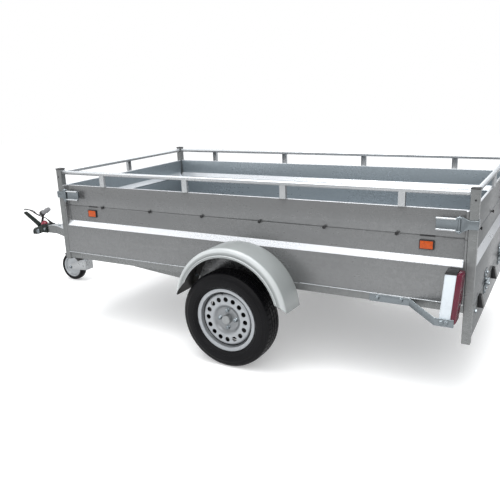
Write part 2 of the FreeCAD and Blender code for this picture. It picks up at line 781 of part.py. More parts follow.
def fixed_hinge(end, middle):
    """Lower leaf with its two outer knuckles and the pin, clear of the drawbar in front."""
    half = HINGE_WIDTH / 2
    knuckle = HINGE_WIDTH / HINGE_KNUCKLES
    low = HINGE_Z - HINGE_LEAF if end == "rear" else ARM_TUBE_TOP + TOUCH_GAP
    parts = [hinge_leaf(end, middle - half, middle + half, low, RAIL_TOP - HINGE_BARREL_R)]
    for start in (middle - half, middle + half - knuckle):
        stop = start + knuckle
        parts.append(barrel(end, start, stop, HINGE_BARREL_R))
        parts.append(barrel_web(end, start, stop, HINGE_Z - HINGE_BARREL_R - HINGE_PLATE, HINGE_Z))
    parts.append(barrel(end, middle - half, middle + half, HINGE_PIN_R))
    return fuse(parts)


def moving_hinge(end, middle):
    """Upper leaf with its middle knuckle, bored for the pin."""
    length = HINGE_WIDTH / HINGE_KNUCKLES - 2 * TOUCH_GAP
    low = middle - length / 2
    high = middle + length / 2
    half = HINGE_WIDTH / 2
    foot = RAIL_TOP + GATE_FOOT_GAP
    leaf = hinge_leaf(end, middle - half, middle + half, foot + HINGE_BARREL_R, foot + HINGE_LEAF)
    web = barrel_web(end, low, high, foot, foot + HINGE_BARREL_R + HINGE_PLATE)
    knuckle = barrel(end, low, high, HINGE_BARREL_R)
    bore = barrel(end, low - CUT_OVERRUN, high + CUT_OVERRUN, HINGE_PIN_R + PIN_PLAY)
    return fuse([leaf, web, knuckle]).cut(bore)


def fixed_hinges(end):
    return group([fixed_hinge(end, y) for y in (-HINGE_Y, HINGE_Y)])


def moving_hinges(end):
    return group([moving_hinge(end, y) for y in (-HINGE_Y, HINGE_Y)])


# Gate latches


def latch(end, side):
    """Bent strap round the post, its yoke with the pivot pin, and the channel lever."""
    forward = -ENDS[end]
    face = END_FACE[end] - forward * TOUCH_GAP * 2
    back = face - forward * STRAP_WALL
    outer_y = HALF_WIDTH + LATCH_CLEAR
    inner_y = BAY_HALF_WIDTH - STRAP_LENGTH / 2
    strap_low = LATCH_Z - STRAP_HEIGHT / 2
    strap_high = LATCH_Z + STRAP_HEIGHT / 2
    yoke_low = LATCH_Z - LATCH_HEIGHT / 2
    yoke_high = LATCH_Z + LATCH_HEIGHT / 2

    def block(x_one, x_two, y_low, y_high, z_low, z_high):
        return box([min(x_one, x_two), y_low, z_low], [max(x_one, x_two), y_high, z_high])

    panel = flat_end_x(end, PANEL_INSET)
    web_y = BAY_HALF_WIDTH - SWING_GAP
    foot = block(panel, panel - forward * STRAP_WALL, inner_y, web_y, yoke_low, yoke_high)
    web = block(panel, back, web_y - STRAP_WALL, web_y, strap_low, strap_high)
    strap = block(face, back, web_y - STRAP_WALL, outer_y + STRAP_WALL, strap_low, strap_high)
    pin_x = face + forward * STRAP_LENGTH
    ear_start = pin_x - forward * YOKE_HALF_LENGTH
    ear_end = pin_x + forward * YOKE_HALF_LENGTH
    flare_x = ear_start - forward * YOKE_LENGTH
    side_outline = [
        (back, strap_low), (flare_x, strap_low), (ear_start, yoke_low), (ear_end, yoke_low),
        (ear_end, yoke_high), (ear_start, yoke_high), (flare_x, strap_high), (back, strap_high),
    ]
    side_plate = prism([(x, outer_y, z) for x, z in side_outline], (0, STRAP_WALL, 0))
    pin_y = outer_y + STRAP_WALL + LEVER_DEPTH / 2
    parts = [foot, web, strap, side_plate]
    for low in (yoke_low, yoke_high - STRAP_WALL):
        parts.append(block(ear_start, ear_end, outer_y, pin_y + YOKE_HALF_LENGTH, low, low + STRAP_WALL))
    pin_low = yoke_low - LATCH_PIN_END
    pin_high = yoke_high + LATCH_PIN_END
    parts.append(rod(LATCH_PIN_R, (pin_x, pin_y, pin_low), (pin_x, pin_y, pin_high)))
    lever_start = ear_start + forward * LATCH_PIN_R
    lever_end = pin_x + forward * LEVER_LENGTH
    lever_low = LATCH_Z - LEVER_HEIGHT / 2
    lever_high = LATCH_Z + LEVER_HEIGHT / 2
    lever_y = outer_y + STRAP_WALL - TOUCH_GAP
    lever = block(lever_start, lever_end, lever_y, lever_y + LEVER_DEPTH, lever_low, lever_high)
    trough = block(
        lever_start - forward * CUT_OVERRUN, lever_end + forward * CUT_OVERRUN,
        lever_y + LEVER_WALL, lever_y + LEVER_DEPTH + CUT_OVERRUN,
        lever_low + LEVER_WALL, lever_high - LEVER_WALL,
    )
    parts.append(lever.cut(trough))
    return mirrored(fuse(parts), side)


def gate_latches(end):
    return group([latch(end, side) for side in SIDES])


def latch_keeper(end, side):
    """Catch on the side wall that the closed lever lies over."""
    forward = -ENDS[end]
    start = END_FACE[end] + forward * (STRAP_LENGTH + LEVER_LENGTH * KEEPER_PLACE_SHARE)
    stop = start + forward * KEEPER_LENGTH
    low = [min(start, stop), HALF_WIDTH - PANEL_INSET, LATCH_Z - KEEPER_HEIGHT / 2]
    high = [max(start, stop), HALF_WIDTH, LATCH_Z + KEEPER_HEIGHT / 2]
    return mirrored(round_edges(box(low, high), KEEPER_CORNER_R, Y_AXIS), side)


def latch_keepers():
    return group([latch_keeper(end, side) for end in ENDS for side in SIDES])


# Reflectors


def reflector(middle, side):
    """Framed side reflector on the upper panel."""
    wall = HALF_WIDTH - PANEL_INSET
    half = REFLECTOR_LENGTH / 2
    low = [middle - half, wall, REFLECTOR_Z - REFLECTOR_HEIGHT / 2]
    high = [middle + half, wall + REFLECTOR_DEPTH, REFLECTOR_Z + REFLECTOR_HEIGHT / 2]
    body = round_edges(box(low, high), REFLECTOR_RIM / 2, Y_AXIS)
    pocket_low = [low[0] + REFLECTOR_RIM, high[1] - REFLECTOR_RIM / 2, low[2] + REFLECTOR_RIM]
    pocket_high = [high[0] - REFLECTOR_RIM, high[1] + CUT_OVERRUN, high[2] - REFLECTOR_RIM]
    return mirrored(body.cut(box(pocket_low, pocket_high)), side)


def side_reflectors():
    return group([reflector(x, side) for x in REFLECTOR_PLACES for side in SIDES])


# Wheels


def revolved(outline, wheel_x, wheel_y, wheel_z):
    """Ring turned about an axle that lies along Y; the outline is radius and offset."""
    corners = [Vec(wheel_x + radius, wheel_y + offset, wheel_z) for radius, offset in outline]
    face = Part.Face(Part.makePolygon(corners + [corners[0]]))
    return face.revolve(Vec(wheel_x, wheel_y, wheel_z), Y_AXIS, 360)


def tyre_outline():
    """Tyre section with a crowned tread, round shoulders and bulged walls."""
    half = TYRE_WIDTH / 2
    tread = TREAD_WIDTH / 2
    bead = RIM_WIDTH / 2 - RIM_WALL - TOUCH_GAP
    seat = RIM_FLANGE_R + TOUCH_GAP
    height = TYRE_R - BEAD_R
    wall = [(BEAD_R, bead), (seat, bead), (seat, bead + RIM_WALL)]
    wall += [(BEAD_R + height * up, half * out) for up, out in TYRE_WALL_SHARES]
    wall += [(TYRE_R - TREAD_CROWN, tread), (TYRE_R, tread * TREAD_FLAT_SHARE)]
    return wall + [(radius, -offset) for radius, offset in reversed(wall)]


def tyre(side):
    return mirrored(revolved(tyre_outline(), 0, WHEEL_Y, AXLE_Z), side)


def rim_outline():
    """Well-base rim section, one wall thick."""
    half = RIM_WIDTH / 2
    well = RIM_WELL_WIDTH / 2
    seat = BEAD_R - TOUCH_GAP
    outer = [
        (RIM_FLANGE_R, -half), (RIM_FLANGE_R, RIM_WALL - half), (seat, RIM_WALL - half),
        (seat, -well - RIM_WALL * 2), (RIM_WELL_R, -well), (RIM_WELL_R, well),
        (seat, well + RIM_WALL * 2), (seat, half - RIM_WALL),
        (RIM_FLANGE_R, half - RIM_WALL), (RIM_FLANGE_R, half),
    ]
    low_corner = well + RIM_WALL / 2
    high_corner = low_corner + RIM_WALL * 2
    inner = [
        (seat - RIM_WALL, half), (seat - RIM_WALL, high_corner), (RIM_WELL_R - RIM_WALL, low_corner),
        (RIM_WELL_R - RIM_WALL, -low_corner), (seat - RIM_WALL, -high_corner), (seat - RIM_WALL, -half),
    ]
    return outer + inner


def disc_outline():
    """Wheel disc section from the hub face to the well of the rim."""
    face = DISC_FACE
    crown = face + DISC_BOWL_DEPTH
    floor_r = DISC_BOWL_R * DISC_BOWL_FLOOR_SHARE
    bend_r = DISC_HOLE_RING_R + DISC_HOLE_R + DISC_WALL
    edge_r = RIM_WELL_R - RIM_WALL / 2
    edge = RIM_WELL_WIDTH / 2 - RIM_WALL - DISC_WALL
    return [
        (HUB_CAP_R + TOUCH_GAP, face), (floor_r, face), (DISC_BOWL_R, crown),
        (bend_r, crown), (edge_r, crown - DISC_EDGE_DROP), (edge_r, edge), (edge_r - DISC_WALL, edge),
        (bend_r - DISC_WALL / 2, crown - DISC_WALL), (DISC_BOWL_R + DISC_WALL / 2, crown - DISC_WALL),
        (floor_r + DISC_WALL / 2, face - DISC_WALL), (HUB_CAP_R + TOUCH_GAP, face - DISC_WALL),
    ]


def bolt_places():
    """Places of the wheel bolts round the axle."""
    places = []
    for i in range(WHEEL_BOLT_COUNT):
        angle = 2 * math.pi * i / WHEEL_BOLT_COUNT
        places.append((WHEEL_BOLT_RING_R * math.cos(angle), AXLE_Z + WHEEL_BOLT_RING_R * math.sin(angle)))
    return places


def rim(side):
    """Steel wheel: well-base rim and a disc with a ring of round holes."""
    wheel = revolved(rim_outline(), 0, WHEEL_Y, AXLE_Z)
    disc = revolved(disc_outline(), 0, WHEEL_Y, AXLE_Z)
    for turned in (wheel, disc):
        turned.rotate(Vec(0, WHEEL_Y, AXLE_Z), Y_AXIS, SEAM_TURN)
    for i in range(DISC_HOLE_COUNT):
        angle = 2 * math.pi * i / DISC_HOLE_COUNT
        x = DISC_HOLE_RING_R * math.cos(angle)
        z = AXLE_Z + DISC_HOLE_RING_R * math.sin(angle)
        disc = disc.cut(rod(DISC_HOLE_R, (x, WHEEL_Y, z), (x, WHEEL_Y + RIM_WIDTH, z)))
    for x, z in bolt_places():
        disc = disc.cut(rod(WHEEL_BOLT_R + TOUCH_GAP, (x, WHEEL_Y, z), (x, WHEEL_Y + RIM_WIDTH, z)))
    return mirrored(fuse([wheel, disc]), side)


def hub(side):
    """Hub with its flange behind the disc, bearing barrel, cap and bolts."""
    back = WHEEL_Y + DISC_FACE - DISC_WALL
    flange = rod(HUB_R, (0, back - HUB_FLANGE, AXLE_Z), (0, back, AXLE_Z))
    barrel_part = rod(HUB_BARREL_R, (0, back - HUB_LENGTH, AXLE_Z), (0, back, AXLE_Z))
    cap_end = back + HUB_CAP_LENGTH
    cap = rod(HUB_CAP_R, (0, back, AXLE_Z), (0, cap_end, AXLE_Z))
    rim_edges = [e for e in cap.Edges if abs(e.CenterOfMass.y - cap_end) < TOUCH_GAP and len(e.Vertexes) == 1]
    cap = cap.makeFillet(HUB_CAP_ROUND_R, rim_edges)
    parts = [flange, barrel_part, cap]
    for x, z in bolt_places():
        parts.append(rod(WHEEL_BOLT_R, (x, back, z), (x, back + DISC_WALL + WHEEL_BOLT_HEAD, z)))
    bore = rod(STUB_R + PIN_PLAY, (0, back - HUB_LENGTH - CUT_OVERRUN, AXLE_Z), (0, back, AXLE_Z))
    return mirrored(fuse(parts).cut(bore), side)


# Axle


def axle_beam():
    """Square torsion tube with the two saddles that hang it from the frame."""
    half = AXLE_TUBE / 2
    low = [AXLE_TUBE_X - half, -AXLE_TUBE_END, AXLE_TUBE_Z - half]
    high = [AXLE_TUBE_X + half, AXLE_TUBE_END, AXLE_TUBE_Z + half]
    tube = box(low, high)
    inner = half - AXLE_TUBE_WALL
    bore_low = [AXLE_TUBE_X - inner, -AXLE_TUBE_END - CUT_OVERRUN, AXLE_TUBE_Z - inner]
    bore_high = [AXLE_TUBE_X + inner, AXLE_TUBE_END + CUT_OVERRUN, AXLE_TUBE_Z + inner]
    parts = [tube]
    top = RAIL_BOTTOM - TOUCH_GAP
    plate_rear = max(x for x in cross_places() if x < AXLE_TUBE_X) - CROSS_DEPTH / 2
    plate_front = high[0] + SADDLE_REACH
    plate_outer = HALF_WIDTH - RAIL_LIP
    for side in SIDES:
        plate = box([plate_rear, SADDLE_INNER_Y, top - SADDLE_WALL], [plate_front, plate_outer, top])
        block = box([low[0], SADDLE_INNER_Y, AXLE_TUBE_Z], [high[0], AXLE_TUBE_END, top - SADDLE_WALL])
        parts += [mirrored(plate, side), mirrored(block, side)]
    return fuse(parts).cut(box(bore_low, bore_high))


def torsion_arm(side):
    """Trailing arm with the square core in the tube and the stub axle."""
    inner_y = AXLE_TUBE_END + TOUCH_GAP
    outer_y = inner_y + ARM_THICKNESS
    pivot = (AXLE_TUBE_X, AXLE_TUBE_Z)
    boss_a = rod(ARM_BOSS_R, (pivot[0], inner_y, pivot[1]), (pivot[0], outer_y, pivot[1]))
    tip_r = ARM_BOSS_R * ARM_TAPER_SHARE
    boss_b = rod(tip_r, (0, inner_y, AXLE_Z), (0, outer_y, AXLE_Z))
    along = Vec(-pivot[0], 0, AXLE_Z - pivot[1])
    along.normalize()
    across = Vec(along.z, 0, -along.x)
    start = Vec(pivot[0], inner_y, pivot[1])
    stop = Vec(0, inner_y, AXLE_Z)
    corners = [start + across * ARM_BOSS_R, stop + across * tip_r]
    corners += [stop - across * tip_r, start - across * ARM_BOSS_R]
    web = prism([(c.x, c.y, c.z) for c in corners], (0, ARM_THICKNESS, 0))
    core = TORSION_CORE / 2
    core_low = [pivot[0] - core, TORSION_CORE_INNER_Y, pivot[1] - core]
    core_bar = box(core_low, [pivot[0] + core, outer_y, pivot[1] + core])
    stub_end = WHEEL_Y + DISC_FACE - DISC_WALL - HUB_FLANGE
    stub = rod(STUB_R, (0, inner_y, AXLE_Z), (0, stub_end, AXLE_Z))
    return mirrored(fuse([boss_a, boss_b, web, core_bar, stub]), side)


# Mudguards


def guard_outline():
    """Mudguard section as radius and distance from the side of the body."""
    top = GUARD_R
    under = GUARD_R - GUARD_WALL
    edge = GUARD_WIDTH
    drop = top - GUARD_SIDE_DROP
    return top, under, edge, drop


def guard_ring():
    """Full ring of the mudguard section before its ends are cut."""
    top, under, edge, drop = guard_outline()
    y = GUARD_INNER_Y
    arc = GUARD_SHOULDER_R
    arc_in = arc - GUARD_WALL
    corner = Vec(top - arc, y + edge - arc, 0)
    diag = math.sqrt(2) / 2
    lip_y = y + edge + GUARD_LIP_STEP
    points = {
        "flange_low": Vec(top - GUARD_INNER_FLANGE, y, 0), "flange_top": Vec(top, y, 0),
        "shoulder": Vec(top, y + edge - arc, 0), "side": Vec(top - arc, y + edge, 0),
        "lip_top": Vec(drop + GUARD_LIP_HEIGHT, y + edge, 0),
        "lip_out": Vec(drop + GUARD_LIP_HEIGHT, lip_y, 0),
        "lip_low": Vec(drop, lip_y, 0), "lip_in": Vec(drop, y + edge - GUARD_WALL, 0),
        "side_in": Vec(top - arc, y + edge - GUARD_WALL, 0), "shoulder_in": Vec(under, y + edge - arc, 0),
        "under": Vec(under, y + GUARD_WALL, 0), "flange_in": Vec(top - GUARD_INNER_FLANGE, y + GUARD_WALL, 0),
    }
    outer_mid = corner + Vec(arc * diag, arc * diag, 0)
    inner_mid = corner + Vec(arc_in * diag, arc_in * diag, 0)

    def line(one, two):
        return Part.LineSegment(points[one], points[two]).toShape()

    edges = [
        line("flange_low", "flange_top"), line("flange_top", "shoulder"),
        Part.Arc(points["shoulder"], outer_mid, points["side"]).toShape(),
        line("side", "lip_top"), line("lip_top", "lip_out"), line("lip_out", "lip_low"),
        line("lip_low", "lip_in"), line("lip_in", "side_in"),
        Part.Arc(points["side_in"], inner_mid, points["shoulder_in"]).toShape(),
        line("shoulder_in", "under"), line("under", "flange_in"), line("flange_in", "flange_low"),
    ]
    ring = Part.Face(Part.Wire(edges)).revolve(Vec(0, 0, 0), Y_AXIS, 360)
    ring.translate(Vec(0, 0, GUARD_Z))
    return ring


def mudguard(side):
    """Round arch over the wheel, its ends cut off with sloping outer corners."""
    reach = GUARD_R + CUT_OVERRUN
    inside = GUARD_INNER_Y - CUT_OVERRUN
    edge = GUARD_INNER_Y + GUARD_WIDTH + GUARD_LIP_STEP
    outside = edge + CUT_OVERRUN
    corner_z = GUARD_END_Z + GUARD_CORNER
    outline = [
        (inside, GUARD_END_Z), (edge - GUARD_CORNER, GUARD_END_Z), (edge, corner_z),
        (outside, corner_z), (outside, GUARD_Z - reach), (inside, GUARD_Z - reach),
    ]
    below = prism([(-reach, y, z) for y, z in outline], (2 * reach, 0, 0))
    return mirrored(guard_ring().cut(below), side)


# Tail lamps


def lamp_box(x_low, x_high, z_low, z_high):
    low = [x_low, LAMP_INNER_Y, z_low]
    high = [x_high, LAMP_INNER_Y + LAMP_WIDTH, z_high]
    return box(low, high)


def tail_lamp(side):
    """Lamp housing, rounded in front."""
    rear = LAMP_REAR_X + LAMP_LENS_DEPTH
    body = lamp_box(rear, LAMP_FRONT_X, LAMP_BOTTOM, LAMP_TOP)
    front_edges = [e for e in body.Edges if min(v.X for v in e.Vertexes) > LAMP_FRONT_X - TOUCH_GAP]
    return mirrored(body.makeFillet(LAMP_CORNER_R, front_edges), side)


def tail_lamp_lens(side):
    """Rear lens, rounded at its outer edges."""
    front = LAMP_REAR_X + LAMP_LENS_DEPTH - TOUCH_GAP
    body = lamp_box(LAMP_REAR_X, front, LAMP_BOTTOM, LAMP_TOP)
    rear_edges = [e for e in body.Edges if max(v.X for v in e.Vertexes) < LAMP_REAR_X + TOUCH_GAP]
    return mirrored(body.makeFillet(LAMP_CORNER_R, rear_edges), side)


def bar_section(x, y_inner, z_low):
    """Closed wire of the flat bar's section at a place along it."""
    corners = [
        Vec(x, y_inner, z_low), Vec(x, y_inner + BRACKET_WALL, z_low),
        Vec(x, y_inner + BRACKET_WALL, z_low + BRACKET_HEIGHT), Vec(x, y_inner, z_low + BRACKET_HEIGHT),
    ]
    return Part.makePolygon(corners + [corners[0]])


def lamp_bracket(side):
    """Flat bar from the side rail, bent outwards and down to the lamp."""
    rail_y = HALF_WIDTH + TOUCH_GAP
    lamp_y = LAMP_INNER_Y + LAMP_WIDTH + TOUCH_GAP
    low = RAIL_BOTTOM - BRACKET_DROP
    stations = [
        (BRACKET_START_INSET, rail_y, RAIL_BOTTOM), (BRACKET_BEND_INSET, rail_y, RAIL_BOTTOM),
        (BRACKET_OUT_INSET, lamp_y, low), (BRACKET_END_INSET, lamp_y, low),
    ]
    wires = [bar_section(REAR_FACE + inset, y, z) for inset, y, z in stations]
    spans = [Part.makeLoft([wires[i], wires[i + 1]], True, True) for i in range(len(wires) - 1)]
    return mirrored(fuse(spans), side)


def both_sides(make):
    """The left and right pieces of a pair, as one node."""
    return group([make(side) for side in SIDES])


# Drawbar


def offset_path(points, distance):
    """Path moved sideways by a distance, with mitred corners."""
    moved = []
    for i, point in enumerate(points):
        before = points[max(i - 1, 0)]
        after = points[min(i + 1, len(points) - 1)]
        normals = []
        for one, two in ((before, point), (point, after)):
            run = Vec(two[0] - one[0], two[1] - one[1], 0)
            if run.Length > 0:
                run.normalize()
                normals.append(Vec(-run.y, run.x, 0))
        middle = normals[0] + normals[-1]
        middle.normalize()
        reach = distance / middle.dot(normals[0])
        moved.append((point[0] + middle.x * reach, point[1] + middle.y * reach))
    return moved


def arm_path():
    """Centre line of the left arm, from its rear end to the nose."""
    nose_y = ARM_TUBE_WIDTH / 2
    return [(ARM_END_X, ARM_END_Y), (ARM_BEND_X, ARM_BEND_Y), (NOSE_BEND_X, nose_y), (NOSE_END_X, nose_y)]


def path_slab(points, half_width, z_low, z_high):
    """Plan outline on both sides of a path, raised between two heights."""
    one = offset_path(points, half_width)
    two = offset_path(points, -half_width)
    outline = [(x, y, z_low) for x, y in one + two[::-1]]
    return prism(outline, (0, 0, z_high - z_low))


def drawbar_arm(side):
    """Rectangular tube bent in plan, open at its rear end."""
    path = arm_path()
    half = ARM_TUBE_WIDTH / 2
    outer = path_slab(path, half, ARM_TUBE_BOTTOM, ARM_TUBE_TOP)
    run = Vec(path[1][0] - path[0][0], path[1][1] - path[0][1], 0)
    run.normalize()
    open_end = (path[0][0] - run.x * CUT_OVERRUN, path[0][1] - run.y * CUT_OVERRUN)
    shut_end = (path[-1][0] - ARM_TUBE_WALL, path[-1][1])
    inner = path_slab(
        [open_end] + path[1:-1] + [shut_end], half - ARM_TUBE_WALL,
        ARM_TUBE_BOTTOM + ARM_TUBE_WALL, ARM_TUBE_TOP - ARM_TUBE_WALL,
    )
    return mirrored(outer.cut(inner), side)


def arm_y(x, inner=False):
    """Outer or inner edge of the left arm ahead of its rear bend."""
    reach = ARM_TUBE_WIDTH / 2
    path = offset_path(arm_path(), -reach if inner else reach)
    if x > path[2][0]:
        return path[2][1]
    share = (path[2][0] - x) / (path[2][0] - path[1][0])
    return path[2][1] + share * (path[1][1] - path[2][1])


def nose_gusset():
    """Plate over the fork of the two arms."""
    front = arm_y(GUSSET_FRONT_X)
    rear = arm_y(GUSSET_REAR_X)
    bend = arm_y(NOSE_BEND_X)
    outline = [
        (GUSSET_REAR_X, -rear), (NOSE_BEND_X, -bend), (GUSSET_FRONT_X, -front),
        (GUSSET_FRONT_X, front), (NOSE_BEND_X, bend), (GUSSET_REAR_X, rear),
    ]
    return prism([(x, y, ARM_TUBE_TOP) for x, y in outline], (0, 0, GUSSET_WALL))


def drawbar():
    return fuse([drawbar_arm(side) for side in SIDES] + [nose_gusset()])


# Coupling


def neck_section(x, half_y, z_low, z_high, corner):
    """Section of the pressed neck, rounded along its two upper edges."""
    lean = corner * math.sqrt(2) / 2
    arcs = []
    for sign in SIDES.values():
        centre = Vec(x, sign * (half_y - corner), z_high - corner)
        side_point = centre + Vec(0, sign * corner, 0)
        top_point = centre + Vec(0, 0, corner)
        arcs.append((side_point, centre + Vec(0, sign * lean, lean), top_point))
    left, right = arcs
    left_foot = Vec(x, half_y, z_low)
    right_foot = Vec(x, -half_y, z_low)
    edges = [
        Part.LineSegment(right_foot, left_foot).toShape(), Part.LineSegment(left_foot, left[0]).toShape(),
        Part.Arc(*left).toShape(), Part.LineSegment(left[2], right[2]).toShape(),
        Part.Arc(*right[::-1]).toShape(), Part.LineSegment(right[0], right_foot).toShape(),
    ]
    return Part.Wire(edges)


def neck_body(inset, drop):
    """Tapered neck from the sleeve to the socket, smaller by an inset and lower by a drop."""
    start = neck_section(
        SLEEVE_END_X, SLEEVE_HALF - inset, SLEEVE_BOTTOM - drop, SLEEVE_TOP - inset, NECK_CORNER_R - inset)
    end = neck_section(
        BALL_X, SOCKET_R * NECK_WIDTH_SHARE - inset, BALL_Z - SOCKET_SKIRT - drop,
        BALL_Z + SOCKET_R * NECK_TOP_SHARE - inset, NECK_CORNER_R - inset)
    return Part.makeLoft([start, end], True, True)


def socket_bulb():
    """Round end of the head over the tow ball."""
    bulb = Part.makeSphere(SOCKET_R, Vec(BALL_X, 0, BALL_Z))
    skirt = rod(SOCKET_R, (BALL_X, 0, BALL_Z - SOCKET_SKIRT), (BALL_X, 0, BALL_Z))
    reach = SOCKET_R + CUT_OVERRUN
    below = box([BALL_X - reach, -reach, BALL_Z - reach], [BALL_X + reach, reach, BALL_Z - SOCKET_SKIRT])
    return fuse([bulb, skirt]).cut(below)


def across_pivot(radius, y_low, y_high):
    """Round bar on the handle's pivot axis."""
    return rod(radius, (HANDLE_PIVOT_X, y_low, HANDLE_PIVOT_Z), (HANDLE_PIVOT_X, y_high, HANDLE_PIVOT_Z))


def handle_cheeks():
    """Two lugs beside the handle's root."""
    lugs = []
    start = HANDLE_WIDTH / 2 + TOUCH_GAP
    stop = start + CHEEK_WALL
    foot = HANDLE_PIVOT_Z - HANDLE_ROOT_R - CHEEK_WALL
    for sign in SIDES.values():
        low = min(sign * start, sign * stop)
        high = low + CHEEK_WALL
        lugs.append(across_pivot(CHEEK_R, low, high))
        corner = [HANDLE_PIVOT_X + CHEEK_R, high, HANDLE_PIVOT_Z]
        lugs.append(box([HANDLE_PIVOT_X - CHEEK_R, low, foot], corner))
    return lugs


def coupling_head():
    """Pressed head: sleeve on the nose, hollow tapered neck, ball socket and lugs."""
    sleeve = box([SLEEVE_START_X, -SLEEVE_HALF, SLEEVE_BOTTOM], [SLEEVE_END_X, SLEEVE_HALF, SLEEVE_TOP])
    sleeve = round_edges(sleeve, NECK_CORNER_R / 2, X_AXIS)
    inner = SLEEVE_HALF - SLEEVE_WALL
    seat = box(
        [SLEEVE_START_X - CUT_OVERRUN, -inner, SLEEVE_BOTTOM - CUT_OVERRUN],
        [SLEEVE_END_X + TOUCH_GAP, inner, SLEEVE_TOP - SLEEVE_WALL],
    )
    shell = fuse([sleeve, neck_body(0, 0)]).cut(seat).cut(neck_body(NECK_WALL, CUT_OVERRUN))
    ball = Part.makeSphere(BALL_R + TOUCH_GAP, Vec(BALL_X, 0, BALL_Z))
    mouth = rod(BALL_R + TOUCH_GAP, (BALL_X, 0, BALL_Z - SOCKET_R), (BALL_X, 0, BALL_Z))
    head = fuse([shell, socket_bulb()] + handle_cheeks()).cut(ball).cut(mouth).cut(handle_body(TOUCH_GAP))
    half = HANDLE_WIDTH / 2 + TOUCH_GAP + CHEEK_WALL + CHEEK_PIN_END
    return fuse([head, across_pivot(HANDLE_PIN_R, -half, half)])


def coupling_bolts():
    """Large bolt heads on the neck and smaller ones on the sleeve."""
    heads = []
    for side, sign in SIDES.items():
        x = NOSE_END_X + COUPLING_BOLT_LEAD
        z = ARM_TUBE_BOTTOM + COUPLING_BOLT_RISE
        head = rod(COUPLING_BOLT_R, (x, 0, z), (x, sign * COUPLING_BOLT_REACH, z))
        keep_out = neck_body(-TOUCH_GAP, CUT_OVERRUN)
        heads.append(head.cut(keep_out))
        x = NOSE_END_X - SLEEVE_BOLT_SETBACK
        z = ARM_TUBE_BOTTOM + SLEEVE_BOLT_RISE
        start = sign * (SLEEVE_HALF + TOUCH_GAP)
        heads.append(rod(SLEEVE_BOLT_R, (x, start, z), (x, start + sign * SLEEVE_BOLT_HEAD, z)))
    return group(heads)


def coupling_dome():
    """Round plastic cap on top of the coupling."""
    ball = Part.makeSphere(DOME_R, Vec(DOME_X, 0, DOME_Z))
    below = neck_body(0, CUT_OVERRUN)
    below.translate(Vec(0, 0, TOUCH_GAP))
    sleeve_corner = [SLEEVE_END_X, SLEEVE_HALF, SLEEVE_TOP + TOUCH_GAP]
    sleeve = box([SLEEVE_START_X, -SLEEVE_HALF, SLEEVE_BOTTOM], sleeve_corner)
    return ball.cut(below).cut(sleeve)


def handle_body(growth):
    """Tapered lever that stands forward and up from its pivot, grown all round."""
    pivot = Vec(HANDLE_PIVOT_X, 0, HANDLE_PIVOT_Z)
    tip = Vec(HANDLE_TIP_X, 0, HANDLE_TIP_Z)
    half = HANDLE_WIDTH / 2 + growth
    root_r = HANDLE_ROOT_R + growth
    tip_r = HANDLE_TIP_R + growth
    root = rod(root_r, (pivot.x, -half, pivot.z), (pivot.x, half, pivot.z))
    end = rod(tip_r, (tip.x, -half, tip.z), (tip.x, half, tip.z))
    along = tip - pivot
    along.normalize()
    across = Vec(-along.z, 0, along.x)
    corners = [pivot + across * root_r, tip + across * tip_r, tip - across * tip_r, pivot - across * root_r]
    web = prism([(c.x, -half, c.z) for c in corners], (0, 2 * half, 0))
    return fuse([root, end, web])


def coupling_handle():
    half = HANDLE_WIDTH / 2 + CUT_OVERRUN
    return handle_body(0).cut(across_pivot(HANDLE_PIN_R + PIN_PLAY, -half, half))


# Lamp cable


def unit(vector):
    direction = Vec(*vector)
    direction.normalize()
    return direction


def gland_points():
    """Foot of the gland on the sleeve and its open end."""
    foot = Vec(NOSE_END_X - GLAND_SETBACK, GLAND_SIDE, SLEEVE_TOP + TOUCH_GAP)
    return foot, foot + unit(GLAND_SLOPE) * GLAND_LENGTH


def cable_gland():
    """Slanted rubber gland on a round flange."""
    foot, end = gland_points()
    stem = rod(GLAND_R, tuple(foot - unit(GLAND_SLOPE) * GLAND_R), tuple(end))
    reach = GLAND_LENGTH + GLAND_R
    below = box([foot.x - reach, foot.y - reach, foot.z - reach], [foot.x + reach, foot.y + reach, foot.z])
    flange = rod(GLAND_FLANGE_R, tuple(foot), (foot.x, foot.y, foot.z + GLAND_FLANGE))
    return fuse([stem.cut(below), flange])


def cable_points():
    """Route of the cable from the gland, round the handle's tip, to the plug."""
    start = gland_points()[1]
    route = [start, start + unit(GLAND_SLOPE) * CABLE_START_RUN]
    route += [Vec(NOSE_END_X + ahead, across, ARM_TUBE_TOP + above) for ahead, across, above in CABLE_ROUTE]
    return route + [PLUG_FACE - unit(PLUG_SLOPE) * CABLE_END_RUN, PLUG_FACE]


def rounded_route(points):
    """Straight runs joined by arcs as large as the runs allow."""
    edges = []
    radii = []
    last = points[0]
    for before, corner, following in zip(points, points[1:], points[2:]):
        back = before - corner
        onward = following - corner
        half_turn = (math.pi - back.getAngle(onward)) / 2
        reach = ARC_SHARE * min(back.Length, onward.Length)
        radius = reach / math.tan(half_turn)
        back.normalize()
        onward.normalize()
        inward = back + onward
        inward.normalize()
        start = corner + back * reach
        stop = corner + onward * reach
        middle = corner + inward * (radius / math.cos(half_turn) - radius)
        edges.append(Part.LineSegment(last, start).toShape())
        edges.append(Part.Arc(start, middle, stop).toShape())
        radii.append(radius)
        last = stop
    edges.append(Part.LineSegment(last, points[-1]).toShape())
    return Part.Wire(edges), radii


def trailer_cable():
    """Round cable from the gland to the plug."""
    route, radii = rounded_route(cable_points())
    start = gland_points()[1]
    circle = Part.Wire([Part.Circle(start, unit(GLAND_SLOPE), CABLE_R).toShape()])
    tube = route.makePipeShell([circle], True, True)
    print("cable: length %.0f, radii" % route.Length, " ".join("%.0f" % radius for radius in radii))
    print("cable: volume share %.4f" % (tube.Volume / (math.pi * CABLE_R ** 2 * route.Length)))
    return tube


